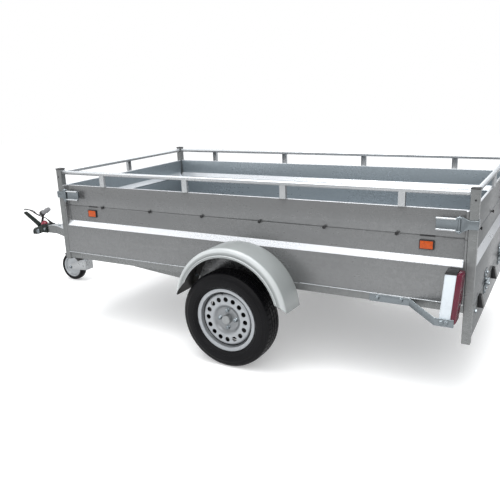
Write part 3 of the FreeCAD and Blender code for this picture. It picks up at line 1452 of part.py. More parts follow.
def along_plug(shape):
    """Something drawn up from zero, laid on the plug's axis."""
    turned = shape.copy()
    turned.Placement = FreeCAD.Placement(PLUG_FACE, FreeCAD.Rotation(Z_AXIS, unit(PLUG_SLOPE)))
    return turned


def plug_body(growth):
    """Turned body of the plug, grown all round for its seat."""
    outline = [(0, 0)]
    outline += [(radius + growth, along) for along, radius in PLUG_PROFILE]
    outline += [(0, PLUG_PROFILE[-1][0])]
    corners = [Vec(radius, 0, along) for radius, along in outline]
    face = Part.Face(Part.makePolygon(corners + [corners[0]]))
    return along_plug(face.revolve(Vec(0, 0, 0), Z_AXIS, 360))


def cable_plug():
    return plug_body(0)


def plug_holder():
    """Leaning stem on the coupling with the ring that the plug is parked in."""
    body_r = max(radius for along, radius in PLUG_PROFILE if along < CLIP_START)
    ring = along_plug(Part.makeCylinder(body_r + CLIP_WALL, CLIP_LENGTH, Vec(0, 0, CLIP_START)))
    foot_x = NOSE_END_X + STEM_LEAD
    foot_z = SLEEVE_BOTTOM
    rise = ARM_TUBE_TOP - foot_z
    lean = STEM_LEAN / STEM_HEIGHT
    top_z = ARM_TUBE_TOP + STEM_HEIGHT
    outline = [
        (foot_x + lean * rise, foot_z), (foot_x + STEM_THICKNESS + lean * rise, foot_z),
        (foot_x + STEM_THICKNESS - STEM_LEAN, top_z), (foot_x - STEM_LEAN, top_z),
    ]
    stem = prism([(x, -STEM_WIDTH / 2, z) for x, z in outline], (0, STEM_WIDTH, 0))
    below = neck_body(0, CUT_OVERRUN)
    below.translate(Vec(0, 0, TOUCH_GAP))
    return fuse([ring, stem.cut(below)]).cut(plug_body(TOUCH_GAP))


# Jockey wheel


def jockey_clamp():
    """Plate between the arms with the square collar round the leg and its clamping screw."""
    half = CLAMP_PLATE / 2
    reach = arm_y(JOCKEY_X + half, inner=True) - TOUCH_GAP
    bore = JOCKEY_TUBE_R + PIN_PLAY
    outer = bore + CLAMP_WALL
    low = ARM_TUBE_BOTTOM
    high = low + CLAMP_HEIGHT
    collar = box([JOCKEY_X - outer, -outer, low], [JOCKEY_X + outer, outer, high])
    collar = round_edges(collar, CLAMP_WALL, Z_AXIS)
    plate = box([JOCKEY_X - half, -reach, low], [JOCKEY_X + half, reach, high])
    middle_z = (low + high) / 2
    screw_end = JOCKEY_X + outer + CLAMP_SCREW_LENGTH
    screw = rod(CLAMP_SCREW_R, (JOCKEY_X + bore, 0, middle_z), (screw_end, 0, middle_z))
    bar_x = screw_end - CLAMP_BAR_R
    bar = rod(CLAMP_BAR_R, (bar_x, -CLAMP_BAR_LENGTH / 2, middle_z), (bar_x, CLAMP_BAR_LENGTH / 2, middle_z))
    hole = box([JOCKEY_X - bore, -bore, low - CUT_OVERRUN], [JOCKEY_X + bore, bore, high + CUT_OVERRUN])
    return fuse([collar, plate, screw, bar]).cut(hole)


def jockey_outer_tube():
    """Leg tube, closed by the head that carries the crank."""
    tube = rod(JOCKEY_TUBE_R, (JOCKEY_X, 0, JOCKEY_TUBE_BOTTOM), (JOCKEY_X, 0, JOCKEY_TUBE_TOP))
    inner = JOCKEY_TUBE_R - JOCKEY_TUBE_WALL
    bore_top = JOCKEY_TUBE_TOP - JOCKEY_TUBE_WALL
    bore = rod(inner, (JOCKEY_X, 0, JOCKEY_TUBE_BOTTOM - CUT_OVERRUN), (JOCKEY_X, 0, bore_top))
    return tube.cut(bore)


def jockey_crank():
    """Cranked handle on top of the leg."""
    top = JOCKEY_TUBE_TOP + TOUCH_GAP
    head = rod(JOCKEY_TUBE_R - JOCKEY_TUBE_WALL, (JOCKEY_X, 0, top), (JOCKEY_X, 0, top + CRANK_HEAD_HEIGHT))
    half = CRANK_ARM_WIDTH / 2
    arm_low = top + CRANK_HEAD_HEIGHT - CRANK_ARM_WALL
    arm = box([JOCKEY_X, -half, arm_low], [JOCKEY_X + CRANK_ARM, half, arm_low + CRANK_ARM_WALL])
    knob_x = JOCKEY_X + CRANK_ARM - CRANK_KNOB_R
    knob = rod(CRANK_KNOB_R, (knob_x, 0, arm_low), (knob_x, 0, arm_low + CRANK_KNOB_HEIGHT))
    return fuse([head, arm, knob])


def jockey_inner_tube():
    """Sliding leg with the plain spigot that the fork turns on."""
    top = JOCKEY_INNER_BOTTOM + JOCKEY_INNER_LENGTH
    leg = rod(JOCKEY_INNER_R, (JOCKEY_X, 0, JOCKEY_INNER_BOTTOM), (JOCKEY_X, 0, top))
    spigot = rod(JOCKEY_INNER_R / 2, (JOCKEY_X, 0, FORK_HEAD_BOTTOM), (JOCKEY_X, 0, JOCKEY_INNER_BOTTOM))
    return fuse([leg, spigot])


def across_jockey(radius, y_low, y_high):
    """Round bar on the jockey wheel's axle."""
    return rod(radius, (JOCKEY_WHEEL_X, y_low, JOCKEY_WHEEL_R), (JOCKEY_WHEEL_X, y_high, JOCKEY_WHEEL_R))


def jockey_fork():
    """Swivel head and two deep side plates that trail the wheel."""
    head = rod(FORK_HEAD_R, (JOCKEY_X, 0, FORK_HEAD_BOTTOM), (JOCKEY_X, 0, FORK_TOP))
    bore = rod(
        JOCKEY_INNER_R / 2 + PIN_PLAY,
        (JOCKEY_X, 0, FORK_HEAD_BOTTOM - CUT_OVERRUN), (JOCKEY_X, 0, FORK_TOP + CUT_OVERRUN),
    )
    rear_x = JOCKEY_X - FORK_HEAD_R
    eye_r = FORK_HEIGHT / 2
    parts = [head]
    for sign in SIDES.values():
        low_y = min(sign * FORK_INNER_Y, sign * (FORK_INNER_Y + FORK_PLATE))
        outline = [
            (rear_x, FORK_HEAD_BOTTOM), (rear_x, FORK_TOP), (YOKE_FRONT_X, FORK_TOP),
            (JOCKEY_WHEEL_X, JOCKEY_WHEEL_R + eye_r), (JOCKEY_WHEEL_X, JOCKEY_WHEEL_R - eye_r),
        ]
        parts.append(prism([(x, low_y, z) for x, z in outline], (0, FORK_PLATE, 0)))
        parts.append(across_jockey(eye_r, low_y, low_y + FORK_PLATE))
    yoke = box([rear_x, -FORK_INNER_Y, FORK_HEAD_BOTTOM], [YOKE_FRONT_X, FORK_INNER_Y, FORK_TOP])
    tyre_room = across_jockey(JOCKEY_WHEEL_R + FORK_GAP, -FORK_INNER_Y, FORK_INNER_Y)
    axle = across_jockey(JOCKEY_AXLE_R, -FORK_INNER_Y, FORK_INNER_Y)
    return fuse(parts + [yoke.cut(tyre_room), axle]).cut(bore)


def jockey_guard():
    """Curved cover over the rear of the wheel, between the fork's plates."""
    inner_r = JOCKEY_WHEEL_R + JOCKEY_GUARD_GAP
    half = FORK_INNER_Y - TOUCH_GAP
    reach = half + CUT_OVERRUN
    ring = across_jockey(inner_r + JOCKEY_GUARD_WALL, -half, half)
    ring = ring.cut(across_jockey(inner_r, -reach, reach))
    room = box(
        [YOKE_FRONT_X + TOUCH_GAP, -half, JOCKEY_WHEEL_R],
        [JOCKEY_WHEEL_X - JOCKEY_GUARD_FRONT, half, JOCKEY_WHEEL_R + inner_r + CUT_OVERRUN],
    )
    return ring.common(room)


def jockey_tyre():
    """Solid rubber tyre with rounded shoulders."""
    half = JOCKEY_WHEEL_WIDTH / 2
    wall = [(JOCKEY_RIM_R, half * JOCKEY_BEAD_SHARE)]
    wall += [(JOCKEY_WHEEL_R * up, half * out) for up, out in JOCKEY_TYRE_SHARES]
    outline = wall + [(radius, -offset) for radius, offset in reversed(wall)]
    return revolved(outline, JOCKEY_WHEEL_X, 0, JOCKEY_WHEEL_R)


def jockey_rim():
    """Dished disc with its hub, bored for the axle."""
    half = JOCKEY_WHEEL_WIDTH / 2
    edge = JOCKEY_RIM_R - TOUCH_GAP
    hub_half = half * JOCKEY_RIM_HUB_SHARE
    web_half = half * JOCKEY_RIM_WEB_SHARE
    edge_half = half * JOCKEY_RIM_EDGE_SHARE
    wall = [
        (JOCKEY_AXLE_R + PIN_PLAY, hub_half), (JOCKEY_HUB_R, hub_half),
        (JOCKEY_HUB_R * JOCKEY_WEB_START_SHARE, web_half), (edge * JOCKEY_WEB_END_SHARE, web_half),
        (edge * JOCKEY_LIP_SHARE, edge_half), (edge, edge_half),
    ]
    outline = wall + [(radius, -offset) for radius, offset in reversed(wall)]
    return revolved(outline, JOCKEY_WHEEL_X, 0, JOCKEY_WHEEL_R)


# Assembly


def all_nodes():
    """Every node by name."""
    nodes = {
        "chassis_frame": chassis_frame(), "rear_valance": rear_valance(), "load_floor": load_floor(),
        "gate_stops": gate_stops(), "corner_posts": corner_posts(), "post_caps": post_caps(),
        "latch_keepers": latch_keepers(), "side_reflectors": side_reflectors(), "axle_beam": axle_beam(),
        "tail_lamps": both_sides(tail_lamp), "tail_lamp_lenses": both_sides(tail_lamp_lens),
        "lamp_brackets": both_sides(lamp_bracket), "drawbar": drawbar(), "coupling_head": coupling_head(),
        "coupling_bolts": coupling_bolts(), "coupling_dome": coupling_dome(), "plug_holder": plug_holder(),
        "coupling_handle": coupling_handle(), "jockey_clamp": jockey_clamp(), "jockey_crank": jockey_crank(),
        "jockey_outer_tube": jockey_outer_tube(), "jockey_inner_tube": jockey_inner_tube(),
        "jockey_fork": jockey_fork(), "jockey_guard": jockey_guard(), "jockey_tyre": jockey_tyre(),
        "jockey_rim": jockey_rim(),
    }
    for side in SIDES:
        nodes["side_wall_" + side] = side_wall(side)
        nodes["side_rail_" + side] = side_rail(side)
        nodes["torsion_arm_" + side] = torsion_arm(side)
        nodes["mudguard_" + side] = mudguard(side)
        nodes["tyre_" + side] = tyre(side)
        nodes["rim_" + side] = rim(side)
        nodes["hub_" + side] = hub(side)
    for end, gate in (("rear", "tailgate"), ("front", "front_gate")):
        nodes[gate + "_panel"] = gate_panel(end)
        nodes[gate + "_rail"] = gate_rail(end)
        nodes[gate + "_fixed_hinges"] = fixed_hinges(end)
        nodes[gate + "_hinges"] = moving_hinges(end)
        nodes[gate + "_latches"] = gate_latches(end)
    return nodes


def cord_nodes():
    """The lamp cable with what is on it."""
    return {"cable_gland": cable_gland(), "trailer_cable": trailer_cable(), "cable_plug": cable_plug()}


def frame_shift(nodes):
    """Move that brings the origin to the bottom centre of the whole."""
    whole = Part.makeCompound(list(nodes.values())).BoundBox
    return Vec(-(whole.XMin + whole.XMax) / 2, 0, 0)


NODES = all_nodes()
SHIFT = frame_shift(NODES)
NODES.update(cord_nodes())

os.makedirs("parts", exist_ok=True)
for name, shape in NODES.items():
    placed = shape.copy()
    placed.translate(SHIFT)
    placed.exportStep("parts/" + name + ".step")
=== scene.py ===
import bpy
import bmesh
import json
import math
from mathutils import Matrix, Vector


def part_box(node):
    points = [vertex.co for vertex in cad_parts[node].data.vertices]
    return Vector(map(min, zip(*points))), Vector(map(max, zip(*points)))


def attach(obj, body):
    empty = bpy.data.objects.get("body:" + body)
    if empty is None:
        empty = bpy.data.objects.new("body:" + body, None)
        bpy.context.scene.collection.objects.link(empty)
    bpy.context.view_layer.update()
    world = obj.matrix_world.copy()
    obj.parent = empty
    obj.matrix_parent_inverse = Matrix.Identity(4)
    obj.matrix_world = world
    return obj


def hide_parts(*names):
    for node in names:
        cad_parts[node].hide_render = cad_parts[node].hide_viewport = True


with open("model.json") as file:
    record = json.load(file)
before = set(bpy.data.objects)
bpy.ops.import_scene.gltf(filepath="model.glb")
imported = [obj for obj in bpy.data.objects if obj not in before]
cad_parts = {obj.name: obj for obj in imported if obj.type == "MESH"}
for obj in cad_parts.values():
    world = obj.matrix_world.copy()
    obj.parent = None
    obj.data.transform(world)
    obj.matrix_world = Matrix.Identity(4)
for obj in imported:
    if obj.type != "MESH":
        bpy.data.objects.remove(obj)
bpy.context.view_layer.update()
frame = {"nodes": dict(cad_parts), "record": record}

# A galvanised single-axle goods trailer, dressed piece by piece. Lengths are in
# metres. +X points to the coupling, +Y to the left and +Z up.

SIDES = {"left": 1, "right": -1}
ENDS = {"rear": -1, "front": 1}
GATES = {"rear": "tailgate", "front": "front_gate"}
UP = Vector((0, 0, 1))
FORWARD = Vector((1, 0, 0))
LEFT = Vector((0, 1, 0))
POST_SIZE = 0.04
FULL_TURN = math.tau
QUARTER_TURN = FULL_TURN / 4


def corners(node):
    """Lowest and highest corner of a node of the CAD model."""
    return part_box(node)


def middle(node):
    """Middle of a node's box."""
    low, high = corners(node)
    return (low + high) / 2


AXLE_X = middle("tyre_left").x
AXLE_Z = middle("tyre_left").z


def spot(ahead, across, up):
    """A place given ahead of the axle, across from the middle and above the ground."""
    return Vector((AXLE_X + ahead, across, up))


# Camera, at the photograph's viewing angle on a square picture

EYE = spot(-1.605, 3.3992, 1.5042)
VIEW_AZIMUTH = -1.058817
VIEW_PITCH = 0.270391
VIEW_ROLL = -0.036353
CAMERA = {"lens": 42.333, "sensor_width": 36.0, "clip_start": 0.05, "clip_end": 60.0}


def adjusted(target, settings):
    """The same thing with some of its settings changed."""
    for key, value in settings.items():
        setattr(target, key, value)
    return target


def placed(name, data):
    """A new object in the scene that shows some data."""
    thing = bpy.data.objects.new(name, data)
    bpy.context.collection.objects.link(thing)
    return thing


def place_camera():
    """Camera that stands at the eye and looks along the view's three angles."""
    camera = placed("camera", adjusted(bpy.data.cameras.new("camera"), CAMERA))
    ahead = Vector((
        math.cos(VIEW_PITCH) * math.cos(VIEW_AZIMUTH),
        math.cos(VIEW_PITCH) * math.sin(VIEW_AZIMUTH),
        -math.sin(VIEW_PITCH),
    ))
    right = Vector((math.sin(VIEW_AZIMUTH), -math.cos(VIEW_AZIMUTH), 0))
    above = right.cross(ahead)
    turned_right = right * math.cos(VIEW_ROLL) + above * math.sin(VIEW_ROLL)
    turned_up = above * math.cos(VIEW_ROLL) - right * math.sin(VIEW_ROLL)
    axes = Matrix((turned_right, turned_up, -ahead)).transposed()
    camera.matrix_world = Matrix.Translation(EYE) @ axes.to_4x4()
    bpy.context.scene.camera = camera


# Node trees

NOISE_SPAN = (0.3, 0.7)


def of_kind(sockets, kind):
    """The sockets of one type, for nodes with several of the same name."""
    return [socket for socket in sockets if socket.type == kind]


class Tree:
    """A node tree, with short calls that add nodes and wire them."""

    def __init__(self, tree):
        self.tree = tree

    def feed(self, socket, value):
        """Give a socket another node's output, or a plain value."""
        if isinstance(value, bpy.types.NodeSocket):
            self.tree.links.new(value, socket)
        else:
            socket.default_value = value

    def add(self, kind, inputs=(), **settings):
        """A new node; its inputs are given in their order, or by name."""
        node = adjusted(self.tree.nodes.new(kind), settings)
        given = inputs if isinstance(inputs, dict) else dict(enumerate(inputs))
        for key, value in given.items():
            self.feed(node.inputs[key], value)
        return node

    def output(self, name, kind, inputs=(), **settings):
        """One output of a new node."""
        return self.add(kind, inputs, **settings).outputs[name]

    def reckon(self, operation, first, second=0.0):
        """A sum on one or two values."""
        return self.output("Value", "ShaderNodeMath", (first, second), operation=operation)

    def chain(self, operation, *parts):
        """Several values taken together by one operation."""
        whole = parts[0]
        for part in parts[1:]:
            whole = self.reckon(operation, whole, part)
        return whole

    def spread(self, source, low, high, start=0.0, stop=1.0):
        """A value between start and stop, spread evenly from low to high."""
        return self.output("Result", "ShaderNodeMapRange", {
            "Value": source, "From Min": start, "From Max": stop, "To Min": low, "To Max": high})


class Finish(Tree):
    """A material under construction."""

    def __init__(self, name):
        self.material = bpy.data.materials.new(name)
        self.material.use_nodes = True
        super().__init__(self.material.node_tree)
        self.shader = self.tree.nodes["Principled BSDF"]
        surface = self.add("ShaderNodeTexCoord")
        self.place = surface.outputs["Object"]
        self.facing = surface.outputs["Normal"]

    def set(self, **values):
        """Give the shader's sockets, with _ for a space, links or plain values."""
        for key, value in values.items():
            self.feed(self.shader.inputs[key.replace("_", " ")], value)
        return self.material

    def noise(self, pattern, low, high):
        """Cloudy values spread between two numbers; a pattern may be stretched along its axes."""
        place = self.place
        if "stretch" in pattern:
            place = self.output("Vector", "ShaderNodeMapping", {"Vector": place, "Scale": pattern["stretch"]})
        cloud = self.output("Fac", "ShaderNodeTexNoise", {
            "Vector": place, "Scale": pattern["scale"], "Detail": pattern["detail"]})
        return self.spread(cloud, low, high, *NOISE_SPAN)

    def cells(self, scale):
        """A random grey for each cell, as on zinc spangle."""
        cell = self.output("Color", "ShaderNodeTexVoronoi", {"Vector": self.place, "Scale": scale})
        return self.output("Red", "ShaderNodeSeparateColor", {"Color": cell})

    def axis(self, letter, source=None):
        """One coordinate of the place, or of another vector."""
        return self.output(letter, "ShaderNodeSeparateXYZ", {"Vector": source or self.place})

    def blend(self, factor, first, second):
        """Colour between two, by a factor; either may be a link or a colour."""
        node = self.add("ShaderNodeMix", {"Factor": factor}, data_type="RGBA")
        for socket, value in zip(of_kind(node.inputs, "RGBA"), (first, second)):
            self.feed(socket, (*value, 1.0) if isinstance(value, tuple) else value)
        return of_kind(node.outputs, "RGBA")[0]

    def tinted(self, colour, tone):
        """A colour made lighter or darker by a number about one."""
        return self.output("Vector", "ShaderNodeVectorMath", {0: colour, "Scale": tone}, operation="SCALE")

    def bump(self, height, strength, distance):
        """Let a value raise and sink the surface."""
        self.set(Normal=self.output("Normal", "ShaderNodeBump", {
            "Height": height, "Strength": strength, "Distance": distance}))


# Materials

SPANGLE_SCALE = 75.0
CLOUD = {"scale": 1.8, "detail": 3.0}
STREAK = {"scale": 2.2, "detail": 2.0, "stretch": (1.0, 1.0, 34.0)}
SKY_FACING = (0.3, 0.6)
ZINC_GRAIN = {"scale": 260.0, "detail": 2.0}
ZINC_WAVE = {"scale": 7.0, "detail": 1.0}
ZINC_BUMP = {"strength": 0.05, "distance": 0.0005}
EDGE_TINT = (0.3, 0.31, 0.32, 1.0)
ZINC_SHINE = 0.25
BAY_MARGINS = {"X": 0.0115, "Y": 0.0102}
GROOVE_UP = 0.802
GROOVE_HALF = 0.0045
# Painted shade: tone of the line pressed into the walls.
GROOVE_SHADE_TONE = 0.62


def painted_groove_shade(f):
    """A number that paints shade into the line pressed into the walls, and is one elsewhere."""
    away = f.reckon("ABSOLUTE", f.reckon("SUBTRACT", f.axis("Z"), GROOVE_UP))
    return f.spread(away, GROOVE_SHADE_TONE, 1.0, GROOVE_HALF / 2, GROOVE_HALF)


def bay_mask(f):
    """One inside the load space, where cool sky reflection is painted, and nought outside it."""
    low, high = corners("corner_posts")
    parts = []
    for i, letter in enumerate(BAY_MARGINS):
        place = f.axis(letter)
        margin = POST_SIZE - BAY_MARGINS[letter]
        parts.append(f.reckon("GREATER_THAN", place, low[i] + margin))
        parts.append(f.reckon("LESS_THAN", place, high[i] - margin))
    return f.chain("MULTIPLY", *parts)


def zinc(name, side, top, metal, rough, spangle, cloud, streak, bay=None):
    """Zinc coat: spangle, soft clouds, faint rolling streaks, and painted sky light that turns faces paler as
    they face up.
    """
    f = Finish(name)
    grain = f.spread(f.cells(SPANGLE_SCALE), -spangle, spangle)
    clouds = f.noise(CLOUD, -cloud, cloud)
    streaks = f.noise(STREAK, -streak, streak)
    tone = f.chain("ADD", grain, clouds, streaks, 1.0)
    # Painted sky light: faces turned up take the paler top colour.
    facing = f.spread(f.axis("Z", f.facing), 0.0, 1.0, *SKY_FACING)
    if bay:
        # Painted reflection: faces inside the load space take the cool bay colour of reflected sky.
        side = f.blend(bay_mask(f), side, bay)
        # Painted shade in the pressed line: darker tone there, and no painted sky light.
        dark = painted_groove_shade(f)
        tone = f.reckon("MULTIPLY", tone, dark)
        facing = f.reckon("MULTIPLY", facing, f.spread(dark, 0.0, 1.0, GROOVE_SHADE_TONE, 1.0))
    reach = spangle + cloud + streak
    f.bump(f.chain("ADD", f.noise(ZINC_GRAIN, 0.0, 1.0), f.noise(ZINC_WAVE, 0.0, 1.0)), **ZINC_BUMP)
    return f.set(
        Base_Color=f.tinted(f.blend(facing, side, top), tone),
        Roughness=f.spread(tone, rough + reach, rough - reach, 1 - reach, 1 + reach),
        Metallic=metal, Specular_Tint=EDGE_TINT, Specular_IOR_Level=ZINC_SHINE)


MOTTLE = {"scale": 6.0, "detail": 4.0}
SHEEN = {"scale": 40.0, "detail": 3.0}
SHEEN_SPREAD = 0.06
PLAIN_SHINE = 0.5
GRAIN_DETAIL = 2.0
GRAIN_DISTANCE = 0.0004


def mottled(f, variation):
    """A tone a little above and below one, in soft patches."""
    return f.noise(MOTTLE, 1 - variation, 1 + variation)


def sheen(f, rough):
    """Roughness with a little unevenness."""
    return f.noise(SHEEN, rough - SHEEN_SPREAD, rough + SHEEN_SPREAD)


def fine_grain(f, scale, strength):
    """Slight roughness of the surface, as the mould leaves it."""
    f.bump(f.noise({"scale": scale, "detail": GRAIN_DETAIL}, 0.0, 1.0), strength, GRAIN_DISTANCE)


def moulded(name, colour, rough, grain_scale, grain, variation, shine=PLAIN_SHINE):
    """Moulded plastic or rubber with a fine grain and a little unevenness."""
    f = Finish(name)
    fine_grain(f, grain_scale, grain)
    return f.set(
        Base_Color=f.tinted(colour, mottled(f, variation)), Roughness=sheen(f, rough),
        Specular_IOR_Level=shine)


# Painted highlight: how far the shoulder's faces turn outwards where it starts and stops.
SHOULDER_HIGHLIGHT_TURN = {"start": (0.05, 0.4), "stop": (0.93, 0.995)}
# Painted shade: near-black colour of the mudguard's inner skin.
UNDERSIDE_SHADE_COLOUR = (0.018, 0.018, 0.016)
GUARD_FINISH = {"rough": 0.3, "grain_scale": 700.0, "grain": 0.1, "variation": 0.04}


def highlit_and_shaded_guard_plastic(name, colour, pale):
    """Mudguard plastic with a painted highlight along its shoulder, and painted shade on the inner skin that
    the attribute marks.
    """
    f = Finish(name)
    # Painted highlight: faces turned part way outwards, round the shoulder, take the pale colour.
    outward = f.reckon("ABSOLUTE", f.axis("Y", f.facing))
    start = f.spread(outward, 0.0, 1.0, *SHOULDER_HIGHLIGHT_TURN["start"])
    stop = f.spread(outward, 1.0, 0.0, *SHOULDER_HIGHLIGHT_TURN["stop"])
    # Painted shade: the inner skin, marked by the attribute, goes near black.
    dirt = f.output("Fac", "ShaderNodeAttribute", attribute_name="dirt")
    coat = f.blend(dirt, f.blend(f.reckon("MULTIPLY", start, stop), colour, pale), UNDERSIDE_SHADE_COLOUR)
    fine_grain(f, GUARD_FINISH["grain_scale"], GUARD_FINISH["grain"])
    return f.set(
        Base_Color=f.tinted(coat, mottled(f, GUARD_FINISH["variation"])), Roughness=GUARD_FINISH["rough"])


FLAKE = {"scale": 420.0, "detail": 1.0}
PAINT_BUMP = {"strength": 0.06, "distance": 0.0004}
PAINT_PEEL = {"scale": 160.0, "detail": 3.0}
PAINT_COAT = {"weight": 0.2, "rough": 0.25}
# Painted shade: near black behind each wheel's disc, and a darker middle of the bowl.
WHEEL_PAINTED_SHADE = {
    "from": 0.7, "fade": (0.811, 0.817), "colour": (0.006, 0.006, 0.006),
    "bowl": (0.078, 0.092), "bowl_painted_shade": 0.62,
}


def behind_disc(f):
    """One behind a wheel's disc, where shade is painted, and nought on its face and elsewhere."""
    outward = f.reckon("ABSOLUTE", f.axis("Y"))
    fade = f.spread(outward, 1.0, 0.0, *WHEEL_PAINTED_SHADE["fade"])
    return f.reckon("MULTIPLY", fade, f.reckon("GREATER_THAN", outward, WHEEL_PAINTED_SHADE["from"]))


def bowl_painted_shade(f):
    """A number that paints shade into the middle of a wheel's bowl, and is one elsewhere."""
    squares = []
    for letter, centre in (("X", AXLE_X), ("Z", AXLE_Z)):
        away = f.reckon("SUBTRACT", f.axis(letter), centre)
        squares.append(f.reckon("MULTIPLY", away, away))
    spoke = f.reckon("SQRT", f.reckon("ADD", *squares))
    return f.spread(spoke, WHEEL_PAINTED_SHADE["bowl_painted_shade"], 1.0, *WHEEL_PAINTED_SHADE["bowl"])


def painted(
        name, colour, metal, rough, flake, variation, painted_wheel_shade=False, coat=PAINT_COAT["weight"],
        shine=PLAIN_SHINE):
    """Sprayed enamel with fine flake; a wheel gets painted shade behind its disc and in its bowl."""
    f = Finish(name)
    tone = f.chain("ADD", f.noise(FLAKE, -flake, flake), mottled(f, variation))
    if painted_wheel_shade:
        # Painted shade: the middle of the bowl is darker.
        tone = f.reckon("MULTIPLY", tone, bowl_painted_shade(f))
        # Painted shade: near black behind the disc, where the holes show the wheel's inside.
        colour = f.blend(behind_disc(f), colour, WHEEL_PAINTED_SHADE["colour"])
    f.bump(f.noise(PAINT_PEEL, 0.0, 1.0), **PAINT_BUMP)
    return f.set(
        Base_Color=f.tinted(colour, tone), Roughness=sheen(f, rough), Metallic=metal, Coat_Weight=coat,
        Coat_Roughness=PAINT_COAT["rough"], Specular_IOR_Level=shine)


FACET_DEPTH = {"strength": 0.35, "distance": 0.0006}
FACET_TONES = (0.7, 1.2)
LENS_FINISH = {"rough": 0.16, "coat_rough": 0.05, "shine": 0.25}


def lens(name, colour, facet_scale, coat):
    """Clear coloured plastic with small moulded facets behind its face."""
    f = Finish(name)
    facets = f.cells(facet_scale)
    f.bump(facets, **FACET_DEPTH)
    return f.set(
        Base_Color=f.tinted(colour, f.spread(facets, *FACET_TONES)), Roughness=LENS_FINISH["rough"],
        Coat_Weight=coat, Coat_Roughness=LENS_FINISH["coat_rough"], Specular_IOR_Level=LENS_FINISH["shine"])


# Each zinc finish's top colour is painted sky light on faces turned up, over its side colour.
MATERIALS = {
    # The panel's bay colour is painted cool sky reflection inside the load space.
    "galvanised_panel": zinc(
        "galvanised panel", side=(0.168, 0.171, 0.173), top=(0.7, 0.72, 0.75), metal=0.55, rough=0.3,
        spangle=0.03, cloud=0.05, streak=0.02, bay=(0.25, 0.285, 0.31)),
    "galvanised_frame": zinc(
        "galvanised frame", side=(0.165, 0.17, 0.17), top=(0.52, 0.54, 0.56), metal=0.55, rough=0.34,
        spangle=0.05, cloud=0.09, streak=0.02),
    "galvanised_tube": zinc(
        "galvanised tube", side=(0.34, 0.35, 0.358), top=(0.7, 0.73, 0.76), metal=0.6, rough=0.3,
        spangle=0.03, cloud=0.05, streak=0.0),
    "zinc_hardware": zinc(
        "zinc hardware", side=(0.15, 0.168, 0.18), top=(0.55, 0.61, 0.65), metal=0.7, rough=0.26,
        spangle=0.02, cloud=0.06, streak=0.0),
    "floor_sheet": zinc(
        "floor sheet", side=(0.24, 0.25, 0.26), top=(0.5, 0.53, 0.56), metal=0.5, rough=0.38,
        spangle=0.05, cloud=0.08, streak=0.03),
    "black_plastic": moulded(
        "black plastic", (0.012, 0.012, 0.013), rough=0.5, grain_scale=900.0, grain=0.12, variation=0.12,
        shine=0.3),
    "reflector_amber": lens("amber reflector", (0.45, 0.062, 0.0), facet_scale=330.0, coat=0.12),
    # The mudguard's pale colour is a painted highlight along its shoulder.
    "mudguard_plastic": highlit_and_shaded_guard_plastic("mudguard plastic", (0.25, 0.266, 0.265), pale=(0.43, 0.452, 0.455)),
    "lamp_white": moulded(
        "white lamp housing", (0.6, 0.65, 0.69), rough=0.3, grain_scale=500.0, grain=0.05, variation=0.03),
    "lamp_red": lens("red lamp lens", (0.095, 0.002, 0.018), facet_scale=420.0, coat=0.2),
    "tyre_rubber": moulded(
        "tyre rubber", (0.0042, 0.0042, 0.005), rough=0.42, grain_scale=300.0, grain=0.2, variation=0.2,
        shine=0.1),
    # The wheel silver gets painted shade behind its disc and in its bowl.
    "wheel_silver": painted(
        "wheel silver", (0.3, 0.315, 0.33), metal=0.5, rough=0.34, flake=0.05, variation=0.05, painted_wheel_shade=True),
    "hub_steel": painted(
        "hub steel", (0.24, 0.25, 0.255), metal=0.6, rough=0.35, flake=0.05, variation=0.08),
    "coupling_dark": painted(
        "dark green enamel", (0.003, 0.0075, 0.0062), metal=0.0, rough=0.3, flake=0.05, variation=0.1,
        coat=0.0, shine=0.16),
    "red_plastic": moulded(
        "red plastic", (0.2, 0.008, 0.026), rough=0.25, grain_scale=600.0, grain=0.08, variation=0.06),
    "cable_black": moulded(
        "cable sheath", (0.01, 0.01, 0.011), rough=0.42, grain_scale=1200.0, grain=0.1, variation=0.1,
        shine=0.3),
    "plug_grey": moulded(
        "grey plug", (0.17, 0.172, 0.18), rough=0.4, grain_scale=800.0, grain=0.12, variation=0.06),
}


# Pieces

SHARP_ANGLE = math.radians(35)
JOIN_DISTANCE = 0.00002
FLAT_ANGLE = math.radians(0.6)
BEVEL_ANGLE = math.radians(32)
EDGE_SEGMENTS = 2
BOX_EDGE = {"segments": 3, "profile": 0.5}
TURNED_COLUMNS = 48
SMALL_COLUMNS = 20
FLUTE = {"depth": 0.0012, "every": 4}

BODIES = frame["record"]["behaviour"]["bodies"]
BODY_OF = {node: body for body, nodes in BODIES.items() for node in nodes}
SLOT_OF = {part["node"]: part["material_slot"] for part in frame["record"]["subparts"]}


def smooth_by_angle(mesh):
    """The mesh shaded smooth, apart from its sharp edges."""
    for polygon in mesh.polygons:
        polygon.use_smooth = True
    mesh.set_sharp_from_angle(angle=SHARP_ANGLE)
    return mesh


def coated(mesh, slot):
    """The mesh with one slot's finish and no other."""
    mesh.materials.clear()
    mesh.materials.append(MATERIALS[slot])
    return mesh


def add_piece(name, mesh, slot, body="root", node=None):
    """Put a finished mesh on its body with its finish, in place of a node if one is named."""
    piece = placed(name, coated(mesh, slot))
    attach(piece, body)
    if node:
        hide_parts(node)
    return piece


def dress(node, mesh, name):
    """Show a mesh in place of a node, on the node's body and with its finish."""
    add_piece(name, mesh, SLOT_OF[node], BODY_OF[node], node)


def dress_both_sides(style, stem, mesh):
    """Show a mesh in place of the left node, and its twin in place of the right one."""
    for side, shape in (("left", mesh), ("right", mirrored(mesh))):
        dress(stem + side, shape, style + stem + side)


def finished_mesh(piece):
    """The piece with its modifiers applied, as a plain smooth mesh; the piece goes."""
    graph = bpy.context.evaluated_depsgraph_get()
    mesh = bpy.data.meshes.new_from_object(piece.evaluated_get(graph))
    bpy.data.objects.remove(piece)
    return smooth_by_angle(mesh)


